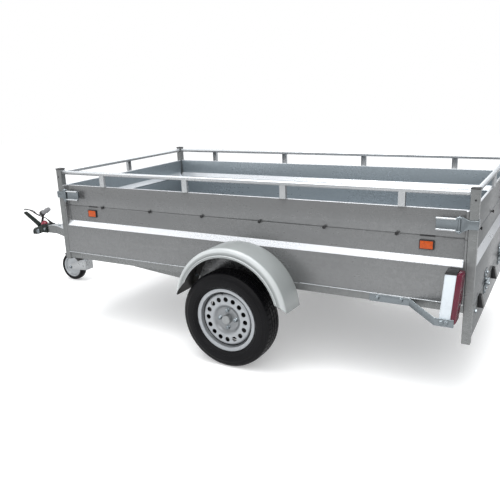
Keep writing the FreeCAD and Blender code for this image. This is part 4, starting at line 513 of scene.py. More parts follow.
def begun_with(*meshes):
    """Geometry for editing that holds some meshes."""
    work = bmesh.new()
    for mesh in meshes:
        work.from_mesh(mesh)
    return work


def ended(work, mesh):
    """The mesh that takes the edited geometry."""
    work.to_mesh(mesh)
    work.free()
    return mesh


def merge_points(work):
    """Make one point of those in the same place."""
    bmesh.ops.remove_doubles(work, verts=work.verts, dist=JOIN_DISTANCE)


def merge_points_and_faces(work):
    """Make one point of those in the same place, and one face of those in the same plane."""
    merge_points(work)
    bmesh.ops.dissolve_limit(work, angle_limit=FLAT_ANGLE, verts=work.verts, edges=work.edges)


def mesh_of(work, name):
    """A plain mesh from edited geometry, its faces turned outwards."""
    merge_points(work)
    bmesh.ops.recalc_face_normals(work, faces=work.faces)
    return smooth_by_angle(ended(work, bpy.data.meshes.new(name)))


def joined(meshes, name):
    """Several meshes as one."""
    return smooth_by_angle(ended(begun_with(*meshes), bpy.data.meshes.new(name)))


def mirrored(mesh):
    """The mesh's twin on the other side of the body."""
    work = begun_with(mesh)
    for vertex in work.verts:
        vertex.co.y = -vertex.co.y
    return mesh_of(work, "twin")


def rounded_edges(mesh, width, segments=EDGE_SEGMENTS):
    """The mesh with its sharp edges rounded."""
    piece = placed(mesh.name, mesh)
    adjusted(piece.modifiers.new("edges", "BEVEL"), {
        "width": width, "segments": segments, "limit_method": "ANGLE", "angle_limit": BEVEL_ANGLE,
        "use_clamp_overlap": False})
    return finished_mesh(piece)


def merged_copy(node):
    """A node's mesh with its loose triangles joined and its flat faces made whole."""
    mesh = frame["nodes"][node].data.copy()
    work = begun_with(mesh)
    merge_points_and_faces(work)
    return ended(work, mesh)


SOFT_EDGES = {
    0.0006: [
        "side_rail_left", "side_rail_right", "tailgate_rail", "front_gate_rail", "plug_holder",
        "jockey_clamp",
    ],
    0.0008: [
        "chassis_frame", "rear_valance", "load_floor", "tailgate_latches", "front_gate_latches",
        "tailgate_hinges", "front_gate_hinges", "tailgate_fixed_hinges", "front_gate_fixed_hinges",
        "lamp_brackets", "jockey_fork",
    ],
    0.0014: [
        "tailgate_panel", "front_gate_panel", "latch_keepers", "axle_beam", "torsion_arm_left",
        "torsion_arm_right", "coupling_bolts", "coupling_handle", "gate_stops", "drawbar",
    ],
}


def soften_edges():
    """Nodes whose shape is right get rounded edges and are shown so."""
    for width, nodes in SOFT_EDGES.items():
        for node in nodes:
            dress(node, rounded_edges(merged_copy(node), width), node + "_dressed")


def join_rings(work, rows, columns):
    """Faces between neighbouring rings; a ring of one point closes a pole."""
    for low, high in zip(rows, rows[1:]):
        for i in range(columns):
            j = (i + 1) % columns
            face = [low[i % len(low)], low[j % len(low)], high[j % len(high)], high[i % len(high)]]
            work.faces.new(list(dict.fromkeys(face)))


def join_and_close(work, rows):
    """Faces between neighbouring rings, and over the first and the last."""
    join_rings(work, rows, len(rows[0]))
    work.faces.new(rows[0])
    work.faces.new(rows[-1][::-1])


def lofted(rings, name, whole_faces=False):
    """Closed solid through a row of outlines with the same number of points."""
    work = bmesh.new()
    join_and_close(work, [[work.verts.new(point) for point in ring] for ring in rings])
    if whole_faces:
        merge_points_and_faces(work)
    return mesh_of(work, name)


def turned(profile, centre=Vector(), axis=UP, columns=TURNED_COLUMNS):
    """Solid of revolution, from pairs of radius and place along the axis; a third True is fluted."""
    work = bmesh.new()
    turn = UP.rotation_difference(axis).to_matrix()
    rows = []
    for radius, along, *fluted in profile:
        ring = []
        for i in range(columns if radius else 1):
            angle = FULL_TURN * i / columns
            sunk = any(fluted) and i % FLUTE["every"] < FLUTE["every"] / 2
            reach = radius - (FLUTE["depth"] if sunk else 0)
            place = Vector((reach * math.cos(angle), reach * math.sin(angle), along))
            ring.append(work.verts.new(centre + turn @ place))
        rows.append(ring)
    join_rings(work, rows, columns)
    return mesh_of(work, "turned")


def small_turned(profile, columns=SMALL_COLUMNS):
    """Small turned shape standing on zero, to be set out."""
    return turned(profile, columns=columns)


def both_halves(half):
    """A profile that ends in the middle plane, with its twin beyond that plane."""
    return list(half) + [(radius, -along) for radius, along in reversed(half)]


def rounded_box(low, high, radius):
    """Box between two corners with all its edges rounded."""
    work = bmesh.new()
    bmesh.ops.create_cube(work, size=1.0)
    for vertex in work.verts:
        for i in range(len(low)):
            vertex.co[i] = high[i] if vertex.co[i] > 0 else low[i]
    bmesh.ops.bevel(work, geom=work.edges, offset=radius, affect="EDGES", **BOX_EDGE)
    return mesh_of(work, "rounded_box")


def islands(node):
    """Lowest and highest corners of each separate solid in a node."""
    work = begun_with(frame["nodes"][node].data)
    merge_points(work)
    found = []
    left_over = set(work.verts)
    while left_over:
        group = [left_over.pop()]
        low = group[0].co.copy()
        high = group[0].co.copy()
        while group:
            vertex = group.pop()
            low = Vector(map(min, low, vertex.co))
            high = Vector(map(max, high, vertex.co))
            for edge in vertex.link_edges:
                other = edge.other_vert(vertex)
                if other in left_over:
                    left_over.remove(other)
                    group.append(other)
        found.append((low, high))
    work.free()
    return sorted(found, key=lambda box: (box[0].x, box[0].y))


# Small pieces, set out by one node tree

SPIN_SEED = 7
SET_OUT_INPUTS = {
    "Points": "Geometry", "Piece": "Object", "Size": "Float", "Spin": "Float", "Finish": "Material",
}


def set_out_tree():
    """Tree that stands a small piece on every point, turned to face outwards."""
    t = Tree(bpy.data.node_groups.new("set out small pieces", "GeometryNodeTree"))
    for name, kind in SET_OUT_INPUTS.items():
        t.tree.interface.new_socket(name, in_out="INPUT", socket_type="NodeSocket" + kind)
    t.tree.interface.new_socket("Result", in_out="OUTPUT", socket_type="NodeSocketGeometry")
    given = t.add("NodeGroupInput").outputs
    facing = t.add("GeometryNodeInputNamedAttribute", data_type="FLOAT_VECTOR")
    t.feed(facing.inputs["Name"], "facing")
    aim = t.output("Rotation", "FunctionNodeAlignRotationToVector", {
        "Vector": of_kind(facing.outputs, "VECTOR")[0]}, axis="Z")
    chance = t.add("FunctionNodeRandomValue", {"Seed": SPIN_SEED}, data_type="FLOAT")
    least, most = [socket for socket in of_kind(chance.inputs, "VALUE") if socket.name in ("Min", "Max")]
    t.feed(least, 0)
    t.feed(most, given["Spin"])
    spin = t.output("Rotation", "FunctionNodeAxisAngleToRotation", {
        "Angle": of_kind(chance.outputs, "VALUE")[0]})
    turn = t.output("Rotation", "FunctionNodeRotateRotation", {
        "Rotation": aim, "Rotate By": spin}, rotation_space="LOCAL")
    shape = t.output("Geometry", "GeometryNodeObjectInfo", {"Object": given["Piece"]})
    stand = t.output("Instances", "GeometryNodeInstanceOnPoints", {
        "Points": given["Points"], "Instance": shape, "Rotation": turn, "Scale": given["Size"]})
    real = t.output("Geometry", "GeometryNodeRealizeInstances", {"Geometry": stand})
    coat = t.output("Geometry", "GeometryNodeSetMaterial", {"Geometry": real, "Material": given["Finish"]})
    t.add("NodeGroupOutput", {"Result": coat})
    return t.tree


SET_OUT = set_out_tree()


def set_out(name, shape, places, slot, body="root", spin=FULL_TURN):
    """Stand a copy of a small mesh on each place, a pair of point and direction."""
    points = bpy.data.meshes.new(name + "_points")
    points.from_pydata([tuple(point) for point, direction in places], [], [])
    facing = points.attributes.new("facing", "FLOAT_VECTOR", "POINT")
    for i, (point, direction) in enumerate(places):
        facing.data[i].vector = direction
    carrier = placed(name + "_points", points)
    pattern = placed(name + "_pattern", shape)
    modifier = carrier.modifiers.new("set out", "NODES")
    modifier.node_group = SET_OUT
    values = {"Piece": pattern, "Size": 1.0, "Spin": float(spin), "Finish": MATERIALS[slot]}
    for socket in SET_OUT.interface.items_tree:
        if socket.name in values:
            modifier[socket.identifier] = values[socket.name]
    mesh = finished_mesh(carrier)
    bpy.data.objects.remove(pattern)
    return add_piece(name, mesh, slot, body)


HEX_SIDES = 6
HEX_POINT_SHARE = 1 / math.sqrt(3)
WASHER_SHARES = {"height": 0.22, "shoulder": 0.75, "reach": 1.35, "chamfer": 0.25}
HEX_SHARES = {"shoulder": 0.82, "top": 0.88}
DOME_STEPS = 5


def hex_bolt(across, height):
    """Hex head with a chamfered top on a round washer, standing on zero."""
    washer = height * WASHER_SHARES["height"]
    radius = across * HEX_POINT_SHARE
    head = small_turned([
        (0, washer / 2), (radius, washer / 2), (radius, height * HEX_SHARES["shoulder"]),
        (radius * HEX_SHARES["top"], height), (0, height),
    ], HEX_SIDES)
    rim = across * WASHER_SHARES["reach"] / 2
    plate = small_turned([
        (0, 0), (rim, 0), (rim, washer * WASHER_SHARES["shoulder"]),
        (rim - washer * WASHER_SHARES["chamfer"], washer), (0, washer),
    ])
    return joined([head, plate], "hex_bolt")


def dome(radius, height, steps=DOME_STEPS):
    """Profile of a rounded head, from its foot to its top."""
    profile = [(0, 0), (radius, 0)]
    for i in range(1, steps):
        angle = QUARTER_TURN * i / steps
        profile.append((radius * math.cos(angle), height * math.sin(angle)))
    return profile + [(0, height)]


def round_head(radius, height):
    """Low domed rivet or carriage-bolt head."""
    return small_turned(dome(radius, height))


HINGE_SPREAD = 0.28
HINGE_BOLT_STEP = 0.03
HINGE_FACE_OUT = 0.004
GATE_FACE_INSET = 0.0005
PANEL_INSET = 0.0265
LEAF_BOLT_UP = 0.53
FIXED_BOLT_UP = {"rear": 0.443, "front": 0.465}
LATCH_BOLT_ACROSS = 0.622
LATCH_BOLT_UPS = (0.852, 0.896)
LATCH_FOOT_OUT = 0.0035
HARDWARE = {"across": 0.013, "height": 0.0062}


def end_x(end, inset):
    """Distance ahead of the axle of a plane inside the front or rear face."""
    low, high = corners("corner_posts")
    face = high.x if end == "front" else low.x
    return face - AXLE_X - ENDS[end] * inset


def gate_bolts():
    """Bolts through the hinge leaves and the feet of the latches."""
    for end, gate in GATES.items():
        out = FORWARD * ENDS[end]
        leaf = end_x(end, GATE_FACE_INSET - HINGE_FACE_OUT)
        foot = end_x(end, PANEL_INSET - LATCH_FOOT_OUT)
        moving = []
        fixed = []
        for side in SIDES.values():
            for step in (-HINGE_BOLT_STEP, HINGE_BOLT_STEP):
                across = side * HINGE_SPREAD + step
                moving.append((spot(leaf, across, LEAF_BOLT_UP), out))
                fixed.append((spot(leaf, across, FIXED_BOLT_UP[end]), out))
            for up in LATCH_BOLT_UPS:
                moving.append((spot(foot, side * LATCH_BOLT_ACROSS, up), out))
        shape = hex_bolt(**HARDWARE)
        set_out(gate + "_bolts", shape, moving, "zinc_hardware", gate)
        set_out(gate + "_fixed_bolts", shape, fixed, "zinc_hardware")


FRAME_BOLT = {"across": 0.017, "height": 0.0085}
BAR_WALL = 0.0053
SADDLE_WALL = 0.006
VALANCE_BOLT_ACROSS = (0.13, 0.39, 0.58)
VALANCE_BOLT_UP = 0.43
SADDLE_BOLT_AHEAD = (0.09, 0.2)
SADDLE_BOLT_ACROSS = (0.55, 0.64)
GUSSET_BOLTS = ((1.94, 0.06), (2.08, 0.03))
BRACKET_BOLTS = ((-0.918, 0.473), (-0.8, 0.469))
LAMP_BOLTS = ((-1.153, 0.43), (-1.13, 0.43))


def frame_bolts():
    """Bolts of the chassis: valance, axle saddles, gusset and lamp bars."""
    places = []
    behind = end_x("rear", GATE_FACE_INSET)
    bar_face = corners("lamp_brackets")[1].y
    rail_face = corners("corner_posts")[1].y + BAR_WALL
    saddle_top = corners("axle_beam")[1].z
    gusset_top = corners("drawbar")[1].z
    for side in SIDES.values():
        for across in VALANCE_BOLT_ACROSS:
            places.append((spot(behind, side * across, VALANCE_BOLT_UP), -FORWARD))
        for ahead, up in BRACKET_BOLTS:
            places.append((spot(ahead, side * rail_face, up), LEFT * side))
        for ahead, up in LAMP_BOLTS:
            places.append((spot(ahead, side * bar_face, up), LEFT * side))
        for ahead in SADDLE_BOLT_AHEAD:
            for across in SADDLE_BOLT_ACROSS:
                places.append((spot(ahead, side * across, saddle_top - SADDLE_WALL), -UP))
        for ahead, across in GUSSET_BOLTS:
            places.append((spot(ahead, side * across, gusset_top), UP))
    set_out("frame_bolts", hex_bolt(**FRAME_BOLT), places, "zinc_hardware")


MUDGUARD_BOLT = {"across": 0.013, "height": 0.006}
MUDGUARD_BOLT_R = 0.33
MUDGUARD_FLANGE_ACROSS = 0.6898
MUDGUARD_BOLT_ANGLES = (20, 55, 90, 125, 160)


def mudguard_bolts():
    """Bolts through each mudguard's inner flange into the side wall."""
    places = []
    for side in SIDES.values():
        for degrees in MUDGUARD_BOLT_ANGLES:
            angle = math.radians(degrees)
            ahead = GUARD_MIDDLE[0] + MUDGUARD_BOLT_R * math.cos(angle)
            up = GUARD_MIDDLE[1] + MUDGUARD_BOLT_R * math.sin(angle)
            places.append((spot(ahead, side * MUDGUARD_FLANGE_ACROSS, up), LEFT * side))
    set_out("mudguard_bolts", hex_bolt(**MUDGUARD_BOLT), places, "zinc_hardware")


# Buttons for the tarpaulin, along the line pressed into the walls

GROOVE_DEPTH = 0.003
SIDE_BUTTONS = {"first": -0.881, "pitch": 0.3736, "count": 6}
GATE_BUTTONS = {"first": -0.427, "pitch": 0.427, "count": 3}
GROOVE_END_INSET = 0.05
GROOVE_DOT = {"radius": 0.0055, "height": 0.0045}
BUTTON_PROFILE = (
    (0, 0), (0.0075, 0), (0.0075, 0.0015), (0.0045, 0.003), (0.0042, 0.009), (0.0075, 0.0105),
    (0.0092, 0.0128), (0.0092, 0.0145), (0.0075, 0.0162), (0.0035, 0.0172), (0, 0.0174),
)


def row(first, pitch, count):
    """Evenly spaced distances."""
    return [first + pitch * i for i in range(count)]


def tarp_buttons():
    """Buttons and dots in the line along the side walls, and buttons on the gates."""
    button = small_turned(BUTTON_PROFILE)
    face = corners("corner_posts")[1].y - PANEL_INSET - GROOVE_DEPTH
    buttons = []
    dots = []
    for side in SIDES.values():
        out = LEFT * side
        buttons += [(spot(ahead, side * face, GROOVE_UP), out) for ahead in row(**SIDE_BUTTONS)]
        dots += [(spot(end_x(end, GROOVE_END_INSET), side * face, GROOVE_UP), out) for end in ENDS]
    set_out("side_wall_buttons", button, buttons, "black_plastic")
    set_out("side_wall_dots", round_head(**GROOVE_DOT), dots, "black_plastic")
    for end, gate in GATES.items():
        ahead = end_x(end, PANEL_INSET + GROOVE_DEPTH)
        places = [(spot(ahead, across, GROOVE_UP), FORWARD * ENDS[end]) for across in row(**GATE_BUTTONS)]
        set_out(gate + "_buttons", button, places, "black_plastic", gate)


# Side walls

WALL = {"face": 0.0005, "panel": PANEL_INSET, "lip": 0.0405, "inner": 0.062}
LOWER_TOP = 0.671
LEDGE_TOP = 0.703
RIB_TOP = 0.836
RIB_FOOT = 0.806
WALL_END = {"flat": 0.011, "slope": 0.004, "gate_room": 0.0057}
WALL_EDGE = 0.0022
WALL_EDGE_SEGMENTS = 3


def wall_ring(ahead, recessed, inner):
    """Outline across the left side wall at one place along it."""
    low, high = corners("side_wall_left")
    half = corners("corner_posts")[1].y
    panel = WALL["panel"] if recessed else WALL["face"]
    groove = WALL["panel"] + GROOVE_DEPTH if recessed else WALL["face"]
    lip = min(WALL["lip"], inner)
    outline = [
        (WALL["face"], low.z), (WALL["face"], LOWER_TOP), (panel, LEDGE_TOP),
        (panel, GROOVE_UP - GROOVE_HALF), (groove, GROOVE_UP), (panel, GROOVE_UP + GROOVE_HALF),
        (panel, high.z), (lip, high.z), (lip, RIB_TOP), (inner, RIB_FOOT), (inner, low.z),
    ]
    return [(ahead, half - inset, up) for inset, up in outline]


def side_walls():
    """Pressed walls: folded ledge, long groove, and ends that fold out to the posts."""
    low, high = corners("side_wall_left")
    flat = WALL_END["flat"]
    room = WALL_END["gate_room"]
    steps = [
        (0, False, POST_SIZE), (room, False, POST_SIZE), (room, False, WALL["inner"]),
        (flat, False, WALL["inner"]), (flat + WALL_END["slope"], True, WALL["inner"]),
    ]
    rings = [wall_ring(low.x + step, *shape) for step, *shape in steps]
    rings += [wall_ring(high.x - step, *shape) for step, *shape in reversed(steps)]
    wall = rounded_edges(lofted(rings, "wall", whole_faces=True), WALL_EDGE, WALL_EDGE_SEGMENTS)
    dress_both_sides("pressed_", "side_wall_", wall)


# Mudguards

GUARD_MIDDLE = (-0.028, 0.341)
GUARD_R = 0.347
GUARD_WALL = 0.004
GUARD_SHOULDER_R = 0.028
GUARD_SHOULDER_STEPS = 8
GUARD_SIDE_DROP = 0.031
GUARD_GROOVE = {"depth": 0.003, "height": 0.005}
GUARD_LIP = {"out": 0.005, "height": 0.013, "round": 0.0022}
GUARD_FLANGE = 0.034
GUARD_ENDS = {
    "front": {"up": 0.378, "taper": 1.9, "corner": 0.03, "slant": 0.7},
    "rear": {"up": 0.364, "taper": 0.25, "corner": 0.05, "slant": 0.75},
}
GUARD_STEPS = 96


def guard_shoulder(edge, wall):
    """Quarter turn of the shoulder, at the outside or one wall further in."""
    points = []
    for i in range(GUARD_SHOULDER_STEPS + 1):
        angle = QUARTER_TURN * i / GUARD_SHOULDER_STEPS
        up = GUARD_R - GUARD_SHOULDER_R + (GUARD_SHOULDER_R - wall) * math.cos(angle)
        points.append((up, edge - GUARD_SHOULDER_R + (GUARD_SHOULDER_R - wall) * math.sin(angle)))
    return points


def guard_skins(inner, edge):
    """Outer and inner skin, as pairs of radius and distance across, from the wall out and back."""
    wall = GUARD_WALL
    drop = GUARD_R - GUARD_SIDE_DROP
    sunk = edge - GUARD_GROOVE["depth"]
    lip_top = drop - GUARD_GROOVE["height"]
    lip_foot = lip_top - GUARD_LIP["height"]
    out = edge + GUARD_LIP["out"]
    bend = GUARD_LIP["round"]
    fold = GUARD_R - GUARD_FLANGE
    outer_lip = [
        (drop, edge), (drop - bend / 2, sunk), (lip_top + bend / 2, sunk), (lip_top, out - bend),
        (lip_top - bend, out), (lip_foot + bend, out), (lip_foot, out - bend),
    ]
    inner_lip = [
        (lip_foot, out - wall + bend), (lip_foot + bend, out - wall), (lip_top - wall, out - wall),
        (lip_top, sunk - wall), (drop, sunk - wall),
    ]
    flange = [(GUARD_R - wall, inner + wall), (fold, inner + wall), (fold, inner)]
    outside = [(GUARD_R, inner)] + guard_shoulder(edge, 0) + outer_lip
    inside = inner_lip + guard_shoulder(edge, wall)[::-1] + flange
    return outside, inside


def guard_end_angle(end, radius, across, edge):
    """Where a line along the mudguard stops: the end rises inwards and at its outer corner."""
    shape = GUARD_ENDS[end]
    beyond = max(0.0, across - (edge - shape["corner"])) / shape["corner"]
    sunk = (GUARD_R - radius) * shape["taper"] * (1 if across > edge - GUARD_SHOULDER_R else 0)
    corner = shape["corner"] * shape["slant"] * beyond ** 2 * (1 if end == "rear" else 0)
    share = (shape["up"] + sunk + corner - GUARD_MIDDLE[1]) / radius
    return math.asin(max(-1.0, min(1.0, share)))


def mudguard():
    """Round arch with a soft shoulder, a stepped lip and slanted ends; its inner skin is marked for painted
    shade.
    """
    inner, outer = [corner.y for corner in corners("mudguard_left")]
    edge = outer - GUARD_LIP["out"]
    outside, inside = guard_skins(inner, edge)
    work = bmesh.new()
    dirt = work.verts.layers.float.new("dirt")
    rows = []
    for i in range(GUARD_STEPS + 1):
        ring = []
        for j, (radius, across) in enumerate(outside + inside):
            start = guard_end_angle("front", radius, across, edge)
            stop = math.pi - guard_end_angle("rear", radius, across, edge)
            angle = start + (stop - start) * i / GUARD_STEPS
            ahead = GUARD_MIDDLE[0] + radius * math.cos(angle)
            vertex = work.verts.new(spot(ahead, across, GUARD_MIDDLE[1] + radius * math.sin(angle)))
            # The inner skin is marked one for painted shade, the outer skin nought.
            vertex[dirt] = 0.0 if j < len(outside) else 1.0
            ring.append(vertex)
        rows.append(ring)
    join_and_close(work, rows)
    return mesh_of(work, "guard")


def mudguards():
    """The left mudguard and its twin."""
    dress_both_sides("moulded_", "mudguard_", mudguard())


# Tyres


def wheel_way(angle):
    """Direction across a wheel's disc at an angle."""
    return Vector((math.cos(angle), 0, math.sin(angle)))


TREAD_PITCHES = 62
PITCH_SHARES = (0, 0.035, 0.12, 0.155, 0.58)
SUNK_SHARES = (0.035, 0.12)
SIPE_TWIST = 0.035
SIPE_DEPTH = 0.0045
SIPE_BANDS = ((0.034, 0.0575), (0.0085, 0.0195))
GROOVE_LINES = (-0.0265, 0.0, 0.0265)
TREAD_GROOVE = {"half_width": 0.004, "depth": 0.0065, "slope": 0.0012}
TREAD_EDGE = (0.2695, 0.0578)
TREAD_TOP_R = 0.2735
TREAD_FLAT = 0.03
TYRE_SIDE = (
    (0.1650, 0.0532), (0.1823, 0.0532), (0.1823, 0.0560), (0.1850, 0.0574), (0.1885, 0.0630),
    (0.1935, 0.0686), (0.1990, 0.0722), (0.2005, 0.0739), (0.2032, 0.0741), (0.2040, 0.0733),
    (0.2100, 0.0744), (0.2190, 0.0748), (0.2250, 0.0746), (0.2344, 0.0738), (0.2352, 0.0744),
    (0.2372, 0.0742), (0.2380, 0.0735), (0.2460, 0.0715), (0.2525, 0.0695), (0.2535, 0.0700),
    (0.2552, 0.0697), (0.2560, 0.0688), (0.2612, 0.0662), (0.2650, 0.0634), (0.2677, 0.0600),
)


def tread_radius(across):
    """Crowned radius of the tread blocks at a distance from the middle."""
    reach = max(0.0, abs(across) - TREAD_FLAT) / (TREAD_EDGE[1] - TREAD_FLAT)
    return TREAD_TOP_R - (TREAD_TOP_R - TREAD_EDGE[0]) * reach * reach


def tread_stations():
    """Distances from the middle at which the tread changes level."""
    slope = TREAD_GROOVE["slope"]
    stations = set()
    for line in GROOVE_LINES:
        for reach in (TREAD_GROOVE["half_width"], TREAD_GROOVE["half_width"] - slope):
            stations.update((line - reach, line + reach))
    for low, high in SIPE_BANDS:
        for place in (low, low + slope, high - slope, high):
            stations.update((place, -place))
    return sorted(stations, reverse=True)


def tread_rows():
    """Rows across the tread as radius, offset and whether cross cuts sink it."""
    slope = TREAD_GROOVE["slope"] - JOIN_DISTANCE
    rows = []
    for across in tread_stations():
        floor = TREAD_GROOVE["half_width"] - slope
        in_groove = any(abs(across - line) <= floor for line in GROOVE_LINES)
        radius = tread_radius(across) - (TREAD_GROOVE["depth"] if in_groove else 0)
        cut = any(low + slope <= abs(across) <= high - slope for low, high in SIPE_BANDS)
        rows.append((radius, across, cut))
    return rows


def tyre_rows():
    """Rows up one wall of the tyre, across its tread and down the other wall."""
    wall = TYRE_SIDE + (TREAD_EDGE,)
    near = [(radius, across, False) for radius, across in wall]
    far = [(radius, -across, False) for radius, across in reversed(wall)]
    return near + tread_rows() + far


def tyre_mesh(centre):
    """Tyre with ribs, shoulder cuts and rings moulded on its walls."""
    work = bmesh.new()
    rows = []
    for radius, offset, cut in tyre_rows():
        twist = SIPE_TWIST * max(-1.0, min(1.0, offset / TREAD_EDGE[1]))
        ring = []
        for i in range(TREAD_PITCHES):
            for share in PITCH_SHARES:
                angle = FULL_TURN * (i + share) / TREAD_PITCHES + twist
                reach = radius - (SIPE_DEPTH if cut and share in SUNK_SHARES else 0)
                place = Vector((reach * math.cos(angle), offset, reach * math.sin(angle)))
                ring.append(work.verts.new(centre + place))
        rows.append(ring)
    join_rings(work, rows + rows[:1], len(rows[0]))
    return mesh_of(work, "tyre")


def tyres():
    """Both road tyres."""
    for side in SIDES:
        node = "tyre_" + side
        dress(node, tyre_mesh(middle(node)), "treaded_" + node)


JOCKEY_TYRE_HALF = (
    (0.0855, 0.0243), (0.0885, 0.0262), (0.0930, 0.0292), (0.0975, 0.0306), (0.1015, 0.0301),
    (0.1055, 0.0284), (0.1090, 0.0254), (0.1118, 0.0206), (0.1133, 0.0140), (0.1140, 0.0060),
    (0.1140, 0.0016), (0.1134, 0.0010), (0.1134, 0.0),
)
JOCKEY_RIM_HALF = (
    (0, 0.0270), (0.0130, 0.0279), (0.0170, 0.0268), (0.0180, 0.0240), (0.0195, 0.0125),
    (0.0240, 0.0095), (0.0560, 0.0085), (0.0720, 0.0120), (0.0775, 0.0225), (0.0800, 0.0240),
    (0.0862, 0.0245), (0.0872, 0.0232), (0.0872, 0.0),
)
JOCKEY_COLUMNS = 96


def jockey_wheel():
    """Solid tyre with round shoulders on a pressed rim."""
    centre = middle("jockey_tyre")
    ring = both_halves(JOCKEY_TYRE_HALF) + [JOCKEY_TYRE_HALF[0]]
    dress("jockey_tyre", turned(ring, centre, LEFT, JOCKEY_COLUMNS), "round_jockey_tyre")
    rim = turned(both_halves(JOCKEY_RIM_HALF), centre, LEFT, JOCKEY_COLUMNS)
    dress("jockey_rim", rim, "pressed_jockey_rim")


HOOD = {
    "inner": 0.121, "outer": 0.125, "skirt": 0.104, "half_width": 0.0354, "wall": 0.0022,
    "edge_share": 0.25, "steps": 36,
}
HOOD_ANGLES = (math.radians(62), math.radians(163))


def jockey_hood():
    """Black hood over the jockey wheel, with short skirts beside its tyre."""
    centre = middle("jockey_tyre")
    half = HOOD["half_width"]
    inside = half - HOOD["wall"]
    section = [
        (HOOD["skirt"], -half), (HOOD["outer"], -half), (HOOD["outer"], half), (HOOD["skirt"], half),
        (HOOD["skirt"], inside), (HOOD["inner"], inside), (HOOD["inner"], -inside), (HOOD["skirt"], -inside),
    ]
    start, stop = HOOD_ANGLES
    rings = []
    for i in range(HOOD["steps"] + 1):
        way = wheel_way(start + (stop - start) * i / HOOD["steps"])
        rings.append([centre + way * radius + LEFT * across for radius, across in section])
    hood = rounded_edges(lofted(rings, "hood"), HOOD["wall"] * HOOD["edge_share"])
    dress("jockey_guard", hood, "jockey_hood")


# Wheels

WHEEL_ACROSS = 0.79
WHEEL_SECTORS = 16
SECTOR_STEPS = 8
SECTOR_OFFSET = 0.5
SPOKE_STEPS = 4
WHEEL_COLUMNS = WHEEL_SECTORS * SECTOR_STEPS
RIM_HALF = (
    (0.1520, 0.0), (0.1520, 0.0215), (0.1528, 0.0228), (0.1640, 0.0296), (0.1650, 0.0312),
    (0.1650, 0.0535), (0.1795, 0.0535), (0.1811, 0.0539), (0.1819, 0.0549), (0.1819, 0.0561),
    (0.1811, 0.0571), (0.1795, 0.0575), (0.1715, 0.0573), (0.1660, 0.0567), (0.1630, 0.0556),
    (0.1613, 0.0538), (0.1608, 0.0512), (0.1608, 0.0350), (0.1600, 0.0332), (0.1492, 0.0262),
    (0.1482, 0.0246), (0.1480, 0.0),
)
DISC_FLAT = {"inner": 0.1, "outer": 0.1342, "front": 0.046, "back": 0.041}
DISC_BOWL_FRONT = (
    (0.0265, 0.0300), (0.0570, 0.0300), (0.0640, 0.0303), (0.0690, 0.0316), (0.0735, 0.0348),
    (0.0775, 0.0392), (0.0815, 0.0428), (0.0860, 0.0450), (0.0910, 0.0460), (0.0950, 0.0462),
)
DISC_BOWL_BACK = (
    (0.0920, 0.0410), (0.0860, 0.0392), (0.0790, 0.0320), (0.0700, 0.0260), (0.0620, 0.0250),
    (0.0265, 0.0250),
)
DISC_EDGE = (
    (0.1380, 0.0456), (0.1420, 0.0441), (0.1456, 0.0414), (0.1484, 0.0376), (0.1497, 0.0335),
    (0.1497, 0.0130), (0.1450, 0.0130), (0.1450, 0.0318), (0.1425, 0.0366), (0.1385, 0.0398),
)
HOLE = {"ring": 0.117, "radius": 0.0138}
HOLE_SECTION = ((0.0016, 0.0), (0.0005, -0.0003), (0.0, -0.0011), (0.0, -0.0042), (0.0008, -0.005))


def wheel_centre(sign):
    """Middle of a road wheel; the sign is one on the left and minus one on the right."""
    return Vector((AXLE_X, sign * WHEEL_ACROSS, AXLE_Z))


def sector_edge(start, stop):
    """Outline of one part of the flat ring, as pairs of radius and angle."""
    low, high = DISC_FLAT["inner"], DISC_FLAT["outer"]
    sides = (
        (low, start, low, stop, SECTOR_STEPS), (low, stop, high, stop, SPOKE_STEPS),
        (high, stop, high, start, SECTOR_STEPS), (high, start, low, start, SPOKE_STEPS),
    )
    outline = []
    for radius, angle, last_radius, last_angle, steps in sides:
        for i in range(steps):
            reach = radius + (last_radius - radius) * i / steps
            outline.append((reach, angle + (last_angle - angle) * i / steps))
    return outline


def disc_bands(work, centre, out):
    """The disc inside and outside its flat ring: bowl, and turned-in edge."""
    inner, outer = DISC_FLAT["inner"], DISC_FLAT["outer"]
    front, back = DISC_FLAT["front"], DISC_FLAT["back"]
    bowl = [(inner, back), *DISC_BOWL_BACK, *DISC_BOWL_FRONT, (inner, front)]
    edge = [(outer, front), *DISC_EDGE, (outer, back)]
    ways = [wheel_way(FULL_TURN * i / WHEEL_COLUMNS) for i in range(WHEEL_COLUMNS)]
    for profile in (bowl, edge):
        rows = []
        for radius, along in profile:
            rows.append([work.verts.new(centre + way * radius + out * along) for way in ways])
        join_rings(work, rows, WHEEL_COLUMNS)


def wheel_disc(centre, out):
    """Pressed disc: bowl, ring of holes with rolled edges, and a turned-in edge."""
    work = bmesh.new()
    disc_bands(work, centre, out)
    front, back = DISC_FLAT["front"], DISC_FLAT["back"]
    for sector in range(WHEEL_SECTORS):
        start = FULL_TURN * (sector - SECTOR_OFFSET) / WHEEL_SECTORS
        stop = start + FULL_TURN / WHEEL_SECTORS
        hole = wheel_way((start + stop) / 2) * HOLE["ring"]
        outline = [wheel_way(angle) * radius for radius, angle in sector_edge(start, stop)]
        rows = [[work.verts.new(centre + place + out * front) for place in outline]]
        for wider, deeper in HOLE_SECTION:
            ring = []
            for place in outline:
                way = (place - hole).normalized() * (HOLE["radius"] + wider)
                ring.append(work.verts.new(centre + hole + way + out * (front + deeper)))
            rows.append(ring)
        rows.append([work.verts.new(centre + place + out * back) for place in outline])
        join_rings(work, rows, len(outline))
    return mesh_of(work, "disc")


def wheels():
    """Well-base rims with their discs."""
    for side, sign in SIDES.items():
        node = "rim_" + side
        out = LEFT * sign
        centre = wheel_centre(sign)
        rim = turned(both_halves(RIM_HALF) + [RIM_HALF[0]], centre, out, WHEEL_COLUMNS)
        dress(node, joined([rim, wheel_disc(centre, out)], "wheel"), "pressed_" + node)


